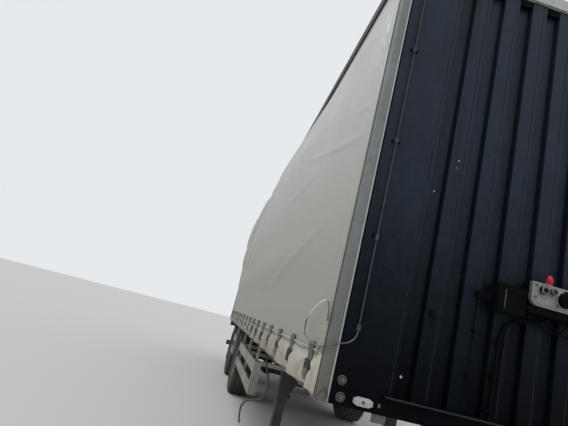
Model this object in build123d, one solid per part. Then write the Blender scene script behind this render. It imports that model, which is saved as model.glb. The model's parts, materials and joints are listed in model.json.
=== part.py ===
"""Curtain-sided semi trailer with two axles, standing on its landing legs.

X points forward, Y to the trailer's left and Z up. The origin is on the ground below the middle
of the trailer. "Behind" in a name is a distance measured rearwards from the bulkhead's outer face.
"""
import os
from math import cos, pi, radians, sin, tan

from build123d import *

# Whole trailer, in millimetres
body_length = 10700.0
body_width = 2550.0
body_height = 4000.0
half_width = body_width / 2

# Heights of the load floor and the coupling face above the ground
coupling_height = 1100.0
deck_top = 1220.0
deck_thickness = 28.0
deck_underside = deck_top - deck_thickness

# How far the couplings stand ahead of the bulkhead and the lock rods behind the rear frame
coupling_reach = 150.0
lock_rod_radius = 13.5
lock_rod_standoff = 24.0
lock_handle_thickness = 10.0

# Rear doors
door_gap = 6.0
door_thickness = 30.0
door_recess = 4.0
door_meeting_gap = 8.0
door_bottom_clearance = 30.0
door_top_clearance = 30.0
rear_reach = door_gap + door_thickness + lock_rod_standoff + lock_rod_radius + lock_handle_thickness
front_face_x = (body_length + rear_reach - coupling_reach) / 2

# Main beams
beam_spacing = 1200.0
beam_flange_width = 140.0
beam_flange_thickness = 12.0
beam_web_thickness = 8.0
beam_bottom_height = 790.0
neck_length = 2600.0
neck_taper_length = 800.0
stiffener_pitch = 700.0
coupler_plate_thickness = 10.0

# Front and rear frames
front_post_width = 81.0
front_post_depth = 90.0
front_post_radius = 32.0
sill_depth = 60.0
sill_height = 100.0
ledge_reach = 26.0
ledge_inset = 355.0
header_height = 90.0
header_reach = 12.0
top_clearance = 10.0
rear_post_width = 100.0
rear_post_depth = 100.0

# Bulkhead panel and its upright grooves
bulkhead_thickness = 60.0
groove_count = 9
groove_pitch = 203.0
groove_mouth = 98.0
groove_floor = 74.0
groove_depth = 36.0
panel_seam = 4.0

# Side raves, floor members and roof
buckle_reach = 16.0
rave_wall = 8.0
rave_height = 135.0
rave_flange_reach = 62.0
cross_member_pitch = 480.0
cross_member_first = 300.0
cross_member_depth = 60.0
cross_member_width = 50.0
cross_member_wall = 6.0
roof_rail_height = 80.0
roof_rail_width = 77.0
roof_sheet_thickness = 4.0
roof_bow_pitch = 700.0
roof_bow_width = 50.0
roof_bow_depth = 45.0

# Curtains and what holds them
curtain_thickness = 4.0
curtain_bulge = 90.0
curtain_hem_height = 1130.0
curtain_straight_height = 1360.0
curtain_pole_radius = 17.5
strap_pitch = 600.0
strap_first = 280.0
strap_width = 50.0
strap_thickness = 3.0
strap_top = 1335.0
strap_buckle_drop = 73.0
strap_buckle_height = 84.0
side_post_count = 3
side_post_width = 110.0
side_post_depth = 60.0

# Running gear
first_axle_behind = 6000.0
axle_spacing = 2000.0
axle_count = 2
tyre_radius = 536.0
tyre_width = 385.0
rim_radius = 286.0
rim_width = 300.0
wheel_centre_y = 1040.0
axle_tube_radius = 63.5
spindle_radius = 38.0
bearing_clearance = 0.3
drum_radius = 205.0

# King pin and landing legs
king_pin_behind = 1600.0
king_pin_neck_radius = 25.4
king_pin_collar_radius = 36.5
king_pin_flange_radius = 90.0
legs_behind = 3450.0
leg_housing_width = 130.0
leg_housing_bottom = 470.0

# Fits
seat_gap = 0.3
beam_outer_y = beam_spacing / 2 + beam_flange_width / 2
beam_inner_y = beam_spacing / 2 - beam_flange_width / 2
curtain_outer_y = half_width - buckle_reach
curtain_inner_y = curtain_outer_y - curtain_thickness
rave_outer_y = curtain_inner_y - 3.0
rave_inner_y = rave_outer_y - rave_wall
rail_underside = body_height - top_clearance - header_height
roof_crown = body_height - rail_underside - roof_rail_height - roof_sheet_thickness
rear_frame_front = body_length - rear_post_depth
wheel_centre_z = tyre_radius

nodes = {}


def x_behind(distance):
    """X of a plane this far behind the bulkhead's outer face."""
    return front_face_x - distance


def block(behind, y_range, z_range):
    """Square-edged solid between two distances behind the bulkhead, two Y and two Z values."""
    length = behind[1] - behind[0]
    width = y_range[1] - y_range[0]
    height = z_range[1] - z_range[0]
    centre = (x_behind(sum(behind) / 2), sum(y_range) / 2, sum(z_range) / 2)
    return Pos(*centre) * Box(length, width, height)


def along_x(outline, behind):
    """Face drawn in (y, z), extruded between two distances behind the bulkhead."""
    start = Plane(origin=(x_behind(behind[1]), 0, 0), x_dir=(0, 1, 0), z_dir=(1, 0, 0))
    return extrude(start * outline, amount=behind[1] - behind[0], dir=(1, 0, 0))


def along_y(outline, y_range):
    """Face drawn in (x, z), extruded between two Y values."""
    start = Plane(origin=(0, y_range[0], 0), x_dir=(1, 0, 0), z_dir=(0, -1, 0))
    return extrude(start * outline, amount=y_range[1] - y_range[0], dir=(0, 1, 0))


def along_z(outline, z_range):
    """Face drawn in (x, y), extruded between two Z values."""
    return extrude(Pos(0, 0, z_range[0]) * outline, amount=z_range[1] - z_range[0], dir=(0, 0, 1))


def polygon(points):
    """Flat face inside a closed outline of straight edges."""
    return make_face(Polyline(*points, close=True))


def rod(start, end, radius):
    """Round bar between two points."""
    axis = Vector(*end) - Vector(*start)
    return extrude(Plane(origin=start, z_dir=axis) * Circle(radius), amount=axis.length)


def turned(profile, centre, outward):
    """Solid turned about a Y axis through centre from (outward distance, radius) points."""
    plane = Plane(origin=centre, x_dir=(0, outward, 0), z_dir=(outward, 0, 0))
    return revolve(plane * profile, axis=Axis(centre, (0, 1, 0)))


def mirrored(shape):
    """The same piece on the other side of the trailer."""
    return mirror(shape, about=Plane.XZ)


def both_sides(shapes):
    """The given pieces and their mirror images, as one list."""
    return list(shapes) + [mirrored(shape) for shape in shapes]


def keep(name, shapes):
    """Record the solids of one node."""
    nodes[name] = Compound(list(shapes))


def neck_outline(rise):
    """Lower edge of a main beam from front to rear, lifted by the given amount."""
    neck_bottom = coupling_height + coupler_plate_thickness
    return [
        (x_behind(sill_depth), neck_bottom + rise),
        (x_behind(neck_length), neck_bottom + rise),
        (x_behind(neck_length + neck_taper_length), beam_bottom_height + rise),
        (x_behind(rear_frame_front), beam_bottom_height + rise),
    ]


def main_beam():
    """Welded I-beam that is shallow over the coupling and deep behind it."""
    y = beam_spacing / 2
    web_top = deck_underside - beam_flange_thickness
    top_corners = [(x_behind(rear_frame_front), web_top), (x_behind(sill_depth), web_top)]
    web = along_y(
        polygon(neck_outline(beam_flange_thickness) + top_corners),
        (y - beam_web_thickness / 2, y + beam_web_thickness / 2),
    )
    lower_edges = neck_outline(0) + neck_outline(beam_flange_thickness)[::-1]
    lower_flange = along_y(polygon(lower_edges), (beam_inner_y, beam_outer_y))
    upper_flange = block(
        (sill_depth, rear_frame_front), (beam_inner_y, beam_outer_y), (web_top, deck_underside)
    )
    beam = web + lower_flange + upper_flange
    behind = neck_length + neck_taper_length + 300.0
    while behind < rear_frame_front - 200.0:
        beam += block(
            (behind - beam_web_thickness / 2, behind + beam_web_thickness / 2),
            (beam_inner_y + 14.0, beam_outer_y - 14.0),
            (beam_bottom_height, deck_underside - 1.0),
        )
        behind += stiffener_pitch
    return beam


def channel_section(width, depth, wall):
    """C-shaped (x, z) face with its back at x = 0 and its top at z = 0."""
    return polygon([
        (0, 0), (width, 0), (width, -wall), (wall, -wall),
        (wall, wall - depth), (width, wall - depth), (width, -depth), (0, -depth),
    ])


def cross_members():
    """Floor channels between the beams and from each beam out to the rave."""
    pieces = []
    spans = (
        (-beam_inner_y, beam_inner_y),
        (beam_outer_y, rave_outer_y - rave_flange_reach / 2),
    )
    section = channel_section(cross_member_width, cross_member_depth, cross_member_wall)
    count = int((rear_frame_front - cross_member_first) // cross_member_pitch) + 1
    for row in range(count):
        x = x_behind(cross_member_first + row * cross_member_pitch)
        placed = Pos(x, deck_underside) * section
        middle = along_y(placed, spans[0])
        outer = along_y(placed, spans[1])
        pieces += [middle, outer, mirrored(outer)]
    return pieces


def floor_deck():
    """Load floor between the raves, notched round the front corner posts."""
    levels = (deck_underside, deck_top)
    between_posts = half_width - front_post_width
    front = block((sill_depth, front_post_depth), (-between_posts, between_posts), levels)
    main = block((front_post_depth, rear_frame_front), (-rave_inner_y, rave_inner_y), levels)
    return front + main


def side_rave():
    """Edge rail of the deck with a ledge for the floor and a lower flange."""
    outer = rave_outer_y
    inner = rave_inner_y
    reach = outer - rave_flange_reach
    ledge = outer - rave_flange_reach / 2
    bottom = coupling_height
    return along_x(polygon([
        (outer, bottom), (outer, bottom + rave_height), (inner, bottom + rave_height),
        (inner, deck_underside), (ledge, deck_underside), (ledge, deck_underside - rave_wall),
        (inner, deck_underside - rave_wall), (inner, bottom + rave_wall),
        (reach, bottom + rave_wall), (reach, bottom),
    ]), (front_post_depth, rear_frame_front))


def bulkhead_panel():
    """Steel front wall with upright grooves in its outer face."""
    half_panel = half_width - front_post_width - panel_seam
    face = front_face_x
    points = [(face - bulkhead_thickness, -half_panel), (face, -half_panel)]
    for number in range(groove_count):
        centre = (number - (groove_count - 1) / 2) * groove_pitch
        points.append((face, centre - groove_mouth / 2))
        points.append((face - groove_depth, centre - groove_floor / 2))
        points.append((face - groove_depth, centre + groove_floor / 2))
        points.append((face, centre + groove_mouth / 2))
    points += [(face, half_panel), (face - bulkhead_thickness, half_panel)]
    return along_z(polygon(points), (coupling_height + sill_height, rail_underside))


def front_corner_post():
    """Corner post with a rounded outer corner."""
    outer = half_width
    inner = half_width - front_post_width
    front = front_face_x
    rear = front_face_x - front_post_depth
    body = along_z(
        polygon([(front, inner), (front, outer), (rear, outer), (rear, inner)]),
        (coupling_height, body_height - top_clearance),
    )
    corner = body.edges().filter_by(Axis.Z).sort_by_distance((front, outer, deck_top))[0]
    return fillet(corner, front_post_radius)


def front_sill():
    """Sill under the bulkhead with a ledge along the middle of its top."""
    top = coupling_height + sill_height
    reach = half_width - front_post_width
    sill = block((0, sill_depth), (-reach, reach), (coupling_height, top))
    ledge_half_length = half_width - ledge_inset
    lip = 12.0
    return sill + block((-ledge_reach, 1.0), (-ledge_half_length, ledge_half_length), (top - lip, top))


def front_header():
    """Pale header box over the bulkhead."""
    reach = half_width - front_post_width
    return block(
        (-header_reach, sill_depth), (-reach, reach), (rail_underside, body_height - top_clearance)
    )


def roof_rail():
    """Side rail of the roof with a drip lip on its outer face."""
    outer = rave_outer_y + 10.0
    inner = outer - roof_rail_width
    lip = 5.0
    bottom = rail_underside
    top = rail_underside + roof_rail_height
    return along_x(polygon([
        (inner, bottom), (outer, bottom), (outer, bottom + 34.0), (outer + lip, bottom + 38.0),
        (outer + lip, bottom + 44.0), (outer, bottom + 48.0), (outer, top), (inner, top),
    ]), (front_post_depth, rear_frame_front))


def roof_sheet():
    """Roof tarpaulin, flat on the rails and slightly crowned between them."""
    outer = rave_outer_y + 10.0
    inner = outer - roof_rail_width
    seat = rail_underside + roof_rail_height
    top = seat + roof_sheet_thickness
    upper = [
        Line((-outer, top), (-inner, top)),
        ThreePointArc((-inner, top), (0, top + roof_crown), (inner, top)),
        Line((inner, top), (outer, top)),
    ]
    lower = [
        Line((outer, seat), (inner, seat)),
        ThreePointArc((inner, seat), (0, seat + roof_crown), (-inner, seat)),
        Line((-inner, seat), (-outer, seat)),
    ]
    ends = [Line((outer, top), (outer, seat)), Line((-outer, seat), (-outer, top))]
    outline = make_face(upper + [ends[0]] + lower + [ends[1]])
    return along_x(outline, (front_post_depth, rear_frame_front))


def roof_bows():
    """Cross bows between the roof rails."""
    reach = rave_outer_y + 10.0 - roof_rail_width
    top = rail_underside + roof_rail_height - 2.0
    count = int((rear_frame_front - front_post_depth - roof_bow_width) // roof_bow_pitch)
    bows = []
    for number in range(1, count + 1):
        middle = front_post_depth + number * roof_bow_pitch
        span = (middle - roof_bow_width / 2, middle + roof_bow_width / 2)
        bows.append(block(span, (-reach, reach), (top - roof_bow_depth, top)))
    return bows


# Share of the curtain's length and share of its full bulge at each section
curtain_stations = ((0.0, 0.03), (0.12, 0.35), (0.35, 0.85), (0.65, 1.0), (0.88, 0.6), (1.0, 0.03))


def curtain_section(behind, bulge):
    """Cut through the right curtain: upright skirt below, shallow outward arc above."""
    outer = curtain_outer_y
    inner = curtain_inner_y
    low = curtain_hem_height
    knee = curtain_straight_height
    top = rail_underside - seat_gap
    middle = (knee + top) / 2
    edges = [
        Line((outer, low), (outer, knee)),
        ThreePointArc((outer, knee), (outer + bulge, middle), (outer, top)),
        Line((outer, top), (inner, top)),
        ThreePointArc((inner, top), (inner + bulge, middle), (inner, knee)),
        Line((inner, knee), (inner, low)),
        Line((inner, low), (outer, low)),
    ]
    plane = Plane(origin=(x_behind(behind), 0, 0), x_dir=(0, 1, 0), z_dir=(1, 0, 0))
    return plane * make_face(edges)


def curtain():
    """Left side curtain, drawn as one thin bulging solid."""
    front = front_post_depth + 2.0
    rear = rear_frame_front - 2.0
    sections = [
        curtain_section(front + share * (rear - front), bulge * curtain_bulge)
        for share, bulge in curtain_stations
    ]
    return loft(sections, ruled=True)


def curtain_strap(behind):
    """Webbing strap with its over-centre buckle and the hook under the rave."""
    inner = curtain_outer_y + seat_gap
    outer = inner + strap_thickness
    bottom = coupling_height - seat_gap
    hook = 6.0
    webbing = along_x(polygon([
        (inner, strap_top), (outer, strap_top), (outer, bottom - hook),
        (rave_inner_y, bottom - hook), (rave_inner_y, bottom), (inner, bottom),
    ]), (behind - strap_width / 2, behind + strap_width / 2))
    buckle = strap_top - strap_buckle_drop
    lever = along_x(polygon([
        (outer, buckle), (half_width - 3.0, buckle - 12.0), (half_width, buckle - 37.0),
        (half_width - 2.0, buckle - strap_buckle_height + 7.0), (outer, buckle - strap_buckle_height),
    ]), (behind - 22.0, behind + 22.0))
    cheeks = []
    for edge in (-30.0, 27.0):
        cheeks.append(along_x(polygon([
            (outer - 1.0, buckle + 4.0), (half_width - 5.0, buckle), (half_width - 5.0, buckle - 70.0),
            (outer - 1.0, buckle - 78.0),
        ]), (behind + edge, behind + edge + 3.0)))
    pin_z = buckle - 8.0
    pin_y = outer + 5.0
    pin = rod((x_behind(behind + 30.0), pin_y, pin_z), (x_behind(behind - 30.0), pin_y, pin_z), 3.5)
    return webbing + lever + cheeks[0] + cheeks[1] + pin


def straps():
    """All straps of the left curtain."""
    count = int((rear_frame_front - 120.0 - strap_first) // strap_pitch) + 1
    return [curtain_strap(strap_first + number * strap_pitch) for number in range(count)]


def side_posts():
    """Sliding posts that carry the left roof rail between the corner posts."""
    outer = rave_inner_y - 3.0
    posts = []
    for number in range(1, side_post_count + 1):
        middle = body_length * number / (side_post_count + 1)
        span = (middle - side_post_width / 2, middle + side_post_width / 2)
        posts.append(block(span, (outer - side_post_depth, outer), (deck_top, rail_underside)))
    return posts


def curtain_poles():
    """Upright tensioning poles at both ends of the left curtain."""
    y = rave_inner_y - curtain_pole_radius - 3.0
    ends = (
        front_post_depth + curtain_pole_radius + 4.0,
        rear_frame_front - curtain_pole_radius - 4.0,
    )
    return [
        rod((x_behind(end), y, deck_top), (x_behind(end), y, rail_underside), curtain_pole_radius)
        for end in ends
    ]


# Door hinges: pin position and the heights of the hinges
hinge_pin_y = half_width - 13.0
hinge_pin_behind = body_length + 45.0
hinge_knuckle_radius = 9.0
hinge_knuckle_height = 60.0
hinge_cheek_height = 30.0
hinge_plate = 6.0
hinge_count = 5

# Lock rods: distance of each from the middle of the trailer
lock_rod_places = (330.0, 930.0)
lock_handle_lengths = (420.0, 150.0)


def hinge_heights():
    """Middle height of each door hinge."""
    low = coupling_height + 160.0
    high = body_height - 180.0
    return [low + (high - low) * number / (hinge_count - 1) for number in range(hinge_count)]


def rear_frame():
    """Portal of two posts, header and sill, with the fixed halves of the door hinges."""
    span = (rear_frame_front, body_length)
    top = body_height - top_clearance
    inner = half_width - rear_post_width
    beam_reach = inner - seat_gap
    post = block(span, (inner, half_width), (coupling_height, top))
    sill = block(span, (-beam_reach, beam_reach), (coupling_height, deck_top))
    header = block(span, (-beam_reach, beam_reach), (rail_underside, top))
    pieces = [post, mirrored(post), sill, header]
    pin_x = x_behind(hinge_pin_behind)
    for height in hinge_heights():
        for end in (-1, 1):
            gap = 0.5
            near = height + end * (hinge_knuckle_height / 2 + gap)
            far = near + end * hinge_cheek_height
            low, high = min(near, far), max(near, far)
            knuckle = rod((pin_x, hinge_pin_y, low), (pin_x, hinge_pin_y, high), hinge_knuckle_radius)
            cheek = block(
                (body_length + seat_gap, hinge_pin_behind),
                (hinge_pin_y - 1.0, hinge_pin_y - 1.0 + hinge_plate),
                (low, high),
            )
            pieces += both_sides([knuckle + cheek])
    return pieces


def door_leaf():
    """Left rear door with the moving halves of its hinges."""
    front = body_length + door_gap
    rear = front + door_thickness
    outer = hinge_pin_y - 6.0
    low = coupling_height + door_bottom_clearance
    high = body_height - top_clearance - door_top_clearance
    leaf = block((front, rear), (door_meeting_gap / 2, outer), (low, high))
    edges = [door_meeting_gap / 2 + 15.0]
    for place in lock_rod_places:
        edges += [place - 45.0, place + 45.0]
    edges.append(outer - 150.0)
    for near, far in zip(edges[::2], edges[1::2]):
        leaf -= block((rear - door_recess, rear + 1.0), (near, far), (low + 70.0, high - 70.0))
    pin_x = x_behind(hinge_pin_behind)
    for height in hinge_heights():
        low_end = height - hinge_knuckle_height / 2
        high_end = height + hinge_knuckle_height / 2
        leaf += rod((pin_x, hinge_pin_y, low_end), (pin_x, hinge_pin_y, high_end), hinge_knuckle_radius)
        leaf += block((rear, rear + hinge_plate), (outer - 135.0, hinge_pin_y), (low_end, high_end))
    return leaf


def lock_gear():
    """Lock rods of the left door with their guides, cams and handles."""
    face = body_length + door_gap + door_thickness
    centre = face + lock_rod_standoff
    low = coupling_height + 8.0
    high = body_height - top_clearance - 8.0
    guide_count = 4
    pieces = []
    for y, handle_length in zip(lock_rod_places, lock_handle_lengths):
        x = x_behind(centre)
        piece = rod((x, y, low), (x, y, high), lock_rod_radius)
        for number in range(guide_count):
            height = low + 200.0 + number * (high - low - 400.0) / (guide_count - 1)
            guide = block((face, centre), (y - 32.0, y + 32.0), (height - 20.0, height + 20.0))
            piece += guide
        for height in (low + 9.0, high - 9.0):
            cam = block((face - 20.0, centre), (y - 22.0, y + 22.0), (height - 9.0, height + 9.0))
            piece += cam
        handle_height = coupling_height + 560.0
        piece += block(
            (centre, centre + lock_rod_radius + lock_handle_thickness),
            (y - 12.0, y + handle_length), (handle_height - 12.0, handle_height + 12.0),
        )
        pieces.append(piece)
        keeper_y = y + handle_length - 40.0
        pieces.append(block(
            (face, centre - seat_gap), (keeper_y - 20.0, keeper_y + 20.0),
            (handle_height - 34.0, handle_height + 34.0),
        ))
    return pieces


def king_pin():
    """Turned king pin with its mounting flange above the coupler plate."""
    base = coupling_height
    plate_top = base + coupler_plate_thickness
    profile = polygon([
        (0, plate_top + 16.0), (king_pin_flange_radius, plate_top + 16.0),
        (king_pin_flange_radius, plate_top), (king_pin_collar_radius, plate_top),
        (king_pin_collar_radius, base - 35.0), (king_pin_neck_radius, base - 35.0),
        (king_pin_neck_radius, base - 71.0), (king_pin_collar_radius - 0.8, base - 71.0),
        (king_pin_collar_radius - 0.8, base - 84.0), (0, base - 84.0),
    ])
    plane = Plane(origin=(x_behind(king_pin_behind), 0, 0), x_dir=(1, 0, 0), z_dir=(0, -1, 0))
    pin_axis = Axis((x_behind(king_pin_behind), 0, 0), (0, 0, 1))
    return revolve(plane * profile, axis=pin_axis)


def coupler_plate():
    """Rubbing plate under the neck, with a turned-up leading edge and the king pin's hole."""
    front = 250.0
    base = coupling_height
    plate = block(
        (front, neck_length), (-beam_outer_y, beam_outer_y), (base, base + coupler_plate_thickness)
    )
    x = x_behind(king_pin_behind)
    hole = rod((x, 0, base - 1), (x, 0, base + coupler_plate_thickness + 1), king_pin_collar_radius + 0.5)
    return plate - hole


def tyre(centre, outward):
    """Bare tyre: beads inside the rim's flanges, bulging walls and a slightly crowned tread."""
    half = tyre_width / 2
    bead = rim_width / 2 - seat_gap
    inner = rim_radius + seat_gap
    wall = rim_radius + 118.0
    shoulder = tyre_radius - 22.0
    outline = [
        Line((-bead, inner), (bead, inner)),
        Line((bead, inner), (bead, inner + 19.0)),
        ThreePointArc((bead, inner + 19.0), (half, wall), (half - 16.0, shoulder)),
        ThreePointArc((half - 16.0, shoulder), (half - 26.0, tyre_radius - 7.0), (half - 42.0, tyre_radius - 2.0)),
        ThreePointArc(
            (half - 42.0, tyre_radius - 2.0), (0, tyre_radius), (42.0 - half, tyre_radius - 2.0)
        ),
        ThreePointArc((42.0 - half, tyre_radius - 2.0), (26.0 - half, tyre_radius - 7.0), (16.0 - half, shoulder)),
        ThreePointArc((16.0 - half, shoulder), (-half, wall), (-bead, inner + 19.0)),
        Line((-bead, inner + 19.0), (-bead, inner)),
    ]
    return turned(make_face(outline), centre, outward)


def rim(centre, outward):
    """Disc wheel with its hub, cap and brake drum."""
    lip = 8.0
    half = rim_width / 2
    barrel = rim_radius - 8.0
    bore = spindle_radius + bearing_clearance
    outline = polygon([
        (-half - lip, rim_radius + 19.0), (-half, rim_radius + 19.0), (-half, rim_radius),
        (half, rim_radius), (half, rim_radius + 19.0), (half + lip, rim_radius + 19.0),
        (half + lip, barrel), (60.0, barrel), (28.0, 235.0), (28.0, 168.0), (46.0, 150.0),
        (46.0, 112.0), (116.0, 100.0), (132.0, 84.0), (140.0, 0),
        (112.0, 0), (112.0, bore), (-170.0, bore), (-170.0, drum_radius),
        (8.0, drum_radius), (16.0, 235.0), (44.0, barrel), (-half - lip, barrel),
    ])
    wheel = turned(outline, centre, outward)
    hand_hole_count = 10
    for number in range(hand_hole_count):
        angle = 2 * pi * number / hand_hole_count
        x = centre[0] + 238.0 * cos(angle)
        z = centre[2] + 238.0 * sin(angle)
        wheel -= rod((x, centre[1] + outward * 4.0, z), (x, centre[1] + outward * 70.0, z), 24.0)
    return wheel


def axle_x(number):
    """X of one axle, counted from the front."""
    return x_behind(first_axle_behind + number * axle_spacing)


# Suspension: places measured rearwards from the axle
hanger_ahead = 520.0
spring_behind = 400.0
arm_width = 86.0
arm_bottom = wheel_centre_z + axle_tube_radius + 12.0
arm_depth = 46.0
brake_chamber_y = 420.0


def axle(number):
    """Axle tube with its spindles and the seats of the trailing arms."""
    x = axle_x(number)
    z = wheel_centre_z
    tube_end = wheel_centre_y - 180.0
    spindle_end = wheel_centre_y + 110.0
    beam = rod((x, -tube_end, z), (x, tube_end, z), axle_tube_radius)
    beam += rod((x, -spindle_end, z), (x, spindle_end, z), spindle_radius)
    for side in (-1, 1):
        y = side * beam_spacing / 2
        seat = Pos(x, y, (z + arm_bottom) / 2) * Box(150.0, arm_width, arm_bottom - z)
        beam += seat
    return beam


def suspension_arm(number):
    """Trailing arm on the left: eye in the hanger, flat over the axle, pad under the spring."""
    x = axle_x(number)
    y = beam_spacing / 2
    eye_x = x + hanger_ahead
    eye_z = arm_bottom + arm_depth / 2 + 20.0
    span = (y - arm_width / 2, y + arm_width / 2)
    outline = polygon([
        (eye_x, eye_z + 24.0), (x + 120.0, arm_bottom + arm_depth), (x - 120.0, arm_bottom + arm_depth),
        (x - spring_behind + 130.0, arm_bottom + 16.0), (x - spring_behind - 110.0, arm_bottom + 16.0),
        (x - spring_behind - 110.0, arm_bottom), (x + 120.0, arm_bottom), (eye_x, eye_z - 24.0),
    ])
    arm = along_y(outline, span)
    return arm + rod((eye_x, span[0], eye_z), (eye_x, span[1], eye_z), 44.0)


def suspension_hanger(number):
    """Bracket under the left beam that holds the arm's eye between two cheeks."""
    x = axle_x(number)
    y = beam_spacing / 2
    eye_x = x + hanger_ahead
    eye_z = arm_bottom + arm_depth / 2 + 20.0
    cheek = polygon([
        (eye_x - 120.0, beam_bottom_height), (eye_x + 150.0, beam_bottom_height),
        (eye_x + 75.0, eye_z - 70.0), (eye_x - 60.0, eye_z - 70.0),
    ])
    wall = 12.0
    outer = arm_width / 2
    left = along_y(cheek, (y + outer, y + outer + wall))
    right = along_y(cheek, (y - outer - wall, y - outer))
    web_outline = polygon([
        (eye_x - 110.0, beam_bottom_height), (eye_x + 140.0, beam_bottom_height),
        (eye_x + 128.0, beam_bottom_height - 30.0), (eye_x - 104.0, beam_bottom_height - 30.0),
    ])
    return left + right + along_y(web_outline, (y - outer, y + outer))


def air_spring(number):
    """Rolling-lobe air spring between the arm's pad and the left beam."""
    x = axle_x(number) - spring_behind
    y = beam_spacing / 2
    low = arm_bottom + 16.0
    high = beam_bottom_height
    profile = make_face([
        Line((0, low), (82.0, low)),
        Line((82.0, low), (74.0, low + 50.0)),
        ThreePointArc((74.0, low + 50.0), (128.0, (low + high) / 2 + 20.0), (100.0, high - 14.0)),
        Line((100.0, high - 14.0), (100.0, high)),
        Line((100.0, high), (0, high)),
        Line((0, high), (0, low)),
    ])
    plane = Plane(origin=(x, y, 0), x_dir=(1, 0, 0), z_dir=(0, -1, 0))
    return revolve(plane * profile, axis=Axis((x, y, 0), (0, 0, 1)))


def brake_chamber(number):
    """Brake chamber on the left, on a plate ahead of the axle tube."""
    x = axle_x(number)
    y = brake_chamber_y
    z = wheel_centre_z + 70.0
    near = x + axle_tube_radius + seat_gap
    plate = Pos(near + 8.0, y, z - 30.0) * Box(16.0, 110.0, 190.0)
    can = rod((near + 12.0, y, z), (near + 190.0, y, z), 82.0)
    can = fillet(can.edges().filter_by(GeomType.CIRCLE), 18.0)
    ring = rod((near + 88.0, y, z), (near + 104.0, y, z), 92.0)
    return plate + can + ring


# Mudguards: shell radius about the axle and the arc that it covers
mudguard_radius = tyre_radius + 20.0
mudguard_thickness = 4.0
mudguard_half_arc = 56.0
mudguard_width = 380.0
flap_tyre_gap = 45.0
flap_thickness = 5.0
flap_bottom = 260.0


def mudguard(number):
    """Curved mudguard over a left wheel with a bar at each end out to the beam's web."""
    x = axle_x(number)
    z = wheel_centre_z
    outer = mudguard_radius + mudguard_thickness
    half_arc = radians(mudguard_half_arc)
    sine, cosine = sin(half_arc), cos(half_arc)
    edges = [
        ThreePointArc(
            (x + outer * sine, z + outer * cosine), (x, z + outer), (x - outer * sine, z + outer * cosine)
        ),
        Line(
            (x - outer * sine, z + outer * cosine),
            (x - mudguard_radius * sine, z + mudguard_radius * cosine),
        ),
        ThreePointArc(
            (x - mudguard_radius * sine, z + mudguard_radius * cosine),
            (x, z + mudguard_radius),
            (x + mudguard_radius * sine, z + mudguard_radius * cosine),
        ),
        Line(
            (x + mudguard_radius * sine, z + mudguard_radius * cosine),
            (x + outer * sine, z + outer * cosine),
        ),
    ]
    y_high = half_width - 42.0
    y_low = y_high - mudguard_width
    shell = along_y(make_face(edges), (y_low, y_high))
    web_face = beam_spacing / 2 + beam_web_thickness / 2
    bar_z = z + outer * cosine
    for side in (-1, 1):
        bar_x = x + side * (outer * sine + 6.0)
        bar = Pos(bar_x, (web_face + y_high) / 2, bar_z) * Box(24.0, y_high - web_face, 30.0)
        shell += bar
    return shell


def mud_flap():
    """Flap behind the last left wheel, folded forward to the rear bar of its mudguard."""
    half_arc = radians(mudguard_half_arc)
    outer = mudguard_radius + mudguard_thickness
    axle_behind = first_axle_behind + (axle_count - 1) * axle_spacing
    bar_face = axle_behind + outer * sin(half_arc) + 18.0
    hang = axle_behind + tyre_radius + flap_tyre_gap
    y_high = half_width - 42.0
    reach = (y_high - mudguard_width, y_high)
    top = wheel_centre_z + outer * cos(half_arc)
    fold = block((bar_face + seat_gap, hang + flap_thickness), reach, (top - flap_thickness, top))
    return fold + block((hang, hang + flap_thickness), reach, (flap_bottom, top))


# Side guards: first and last distance behind the bulkhead of each stretch
guard_gap = 120.0
guard_spans = (
    (legs_behind - 600.0, first_axle_behind - tyre_radius - guard_gap),
    (
        first_axle_behind + tyre_radius + guard_gap,
        first_axle_behind + axle_spacing - tyre_radius - guard_gap,
    ),
)
guard_plank_bottoms = (565.0, 800.0)
guard_plank_height = 125.0
guard_plank_thickness = 25.0
guard_outer_y = half_width - 25.0
guard_post_depth = 30.0
guard_return_width = 70.0
guard_post_inset = 180.0
guard_post_pitch = 1300.0


def side_guard(span):
    """Two planks on posts under the rave, with an upright return at the leading end."""
    inner = guard_outer_y - guard_plank_thickness
    post_inner = inner - guard_post_depth
    low = guard_plank_bottoms[0]
    high = guard_plank_bottoms[1] + guard_plank_height
    return_end = span[0] + guard_return_width
    pieces = [block((span[0], return_end), (inner - 60.0, guard_outer_y), (low, high))]
    for bottom in guard_plank_bottoms:
        pieces.append(block(
            (return_end + seat_gap, span[1]), (inner, guard_outer_y), (bottom, bottom + guard_plank_height)
        ))
    web_face = beam_spacing / 2 + beam_web_thickness / 2
    first, last = span[0] + guard_post_inset, span[1] - guard_post_inset
    bays = 1 + int((last - first) // guard_post_pitch)
    for number in range(bays + 1):
        behind = first + (last - first) * number / bays
        pieces.append(block(
            (behind - 25.0, behind + 25.0), (post_inner, inner - seat_gap), (low, coupling_height)
        ))
        pieces.append(block(
            (behind - 20.0, behind + 20.0), (web_face, post_inner - seat_gap), (high - 50.0, high)
        ))
    return pieces


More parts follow.
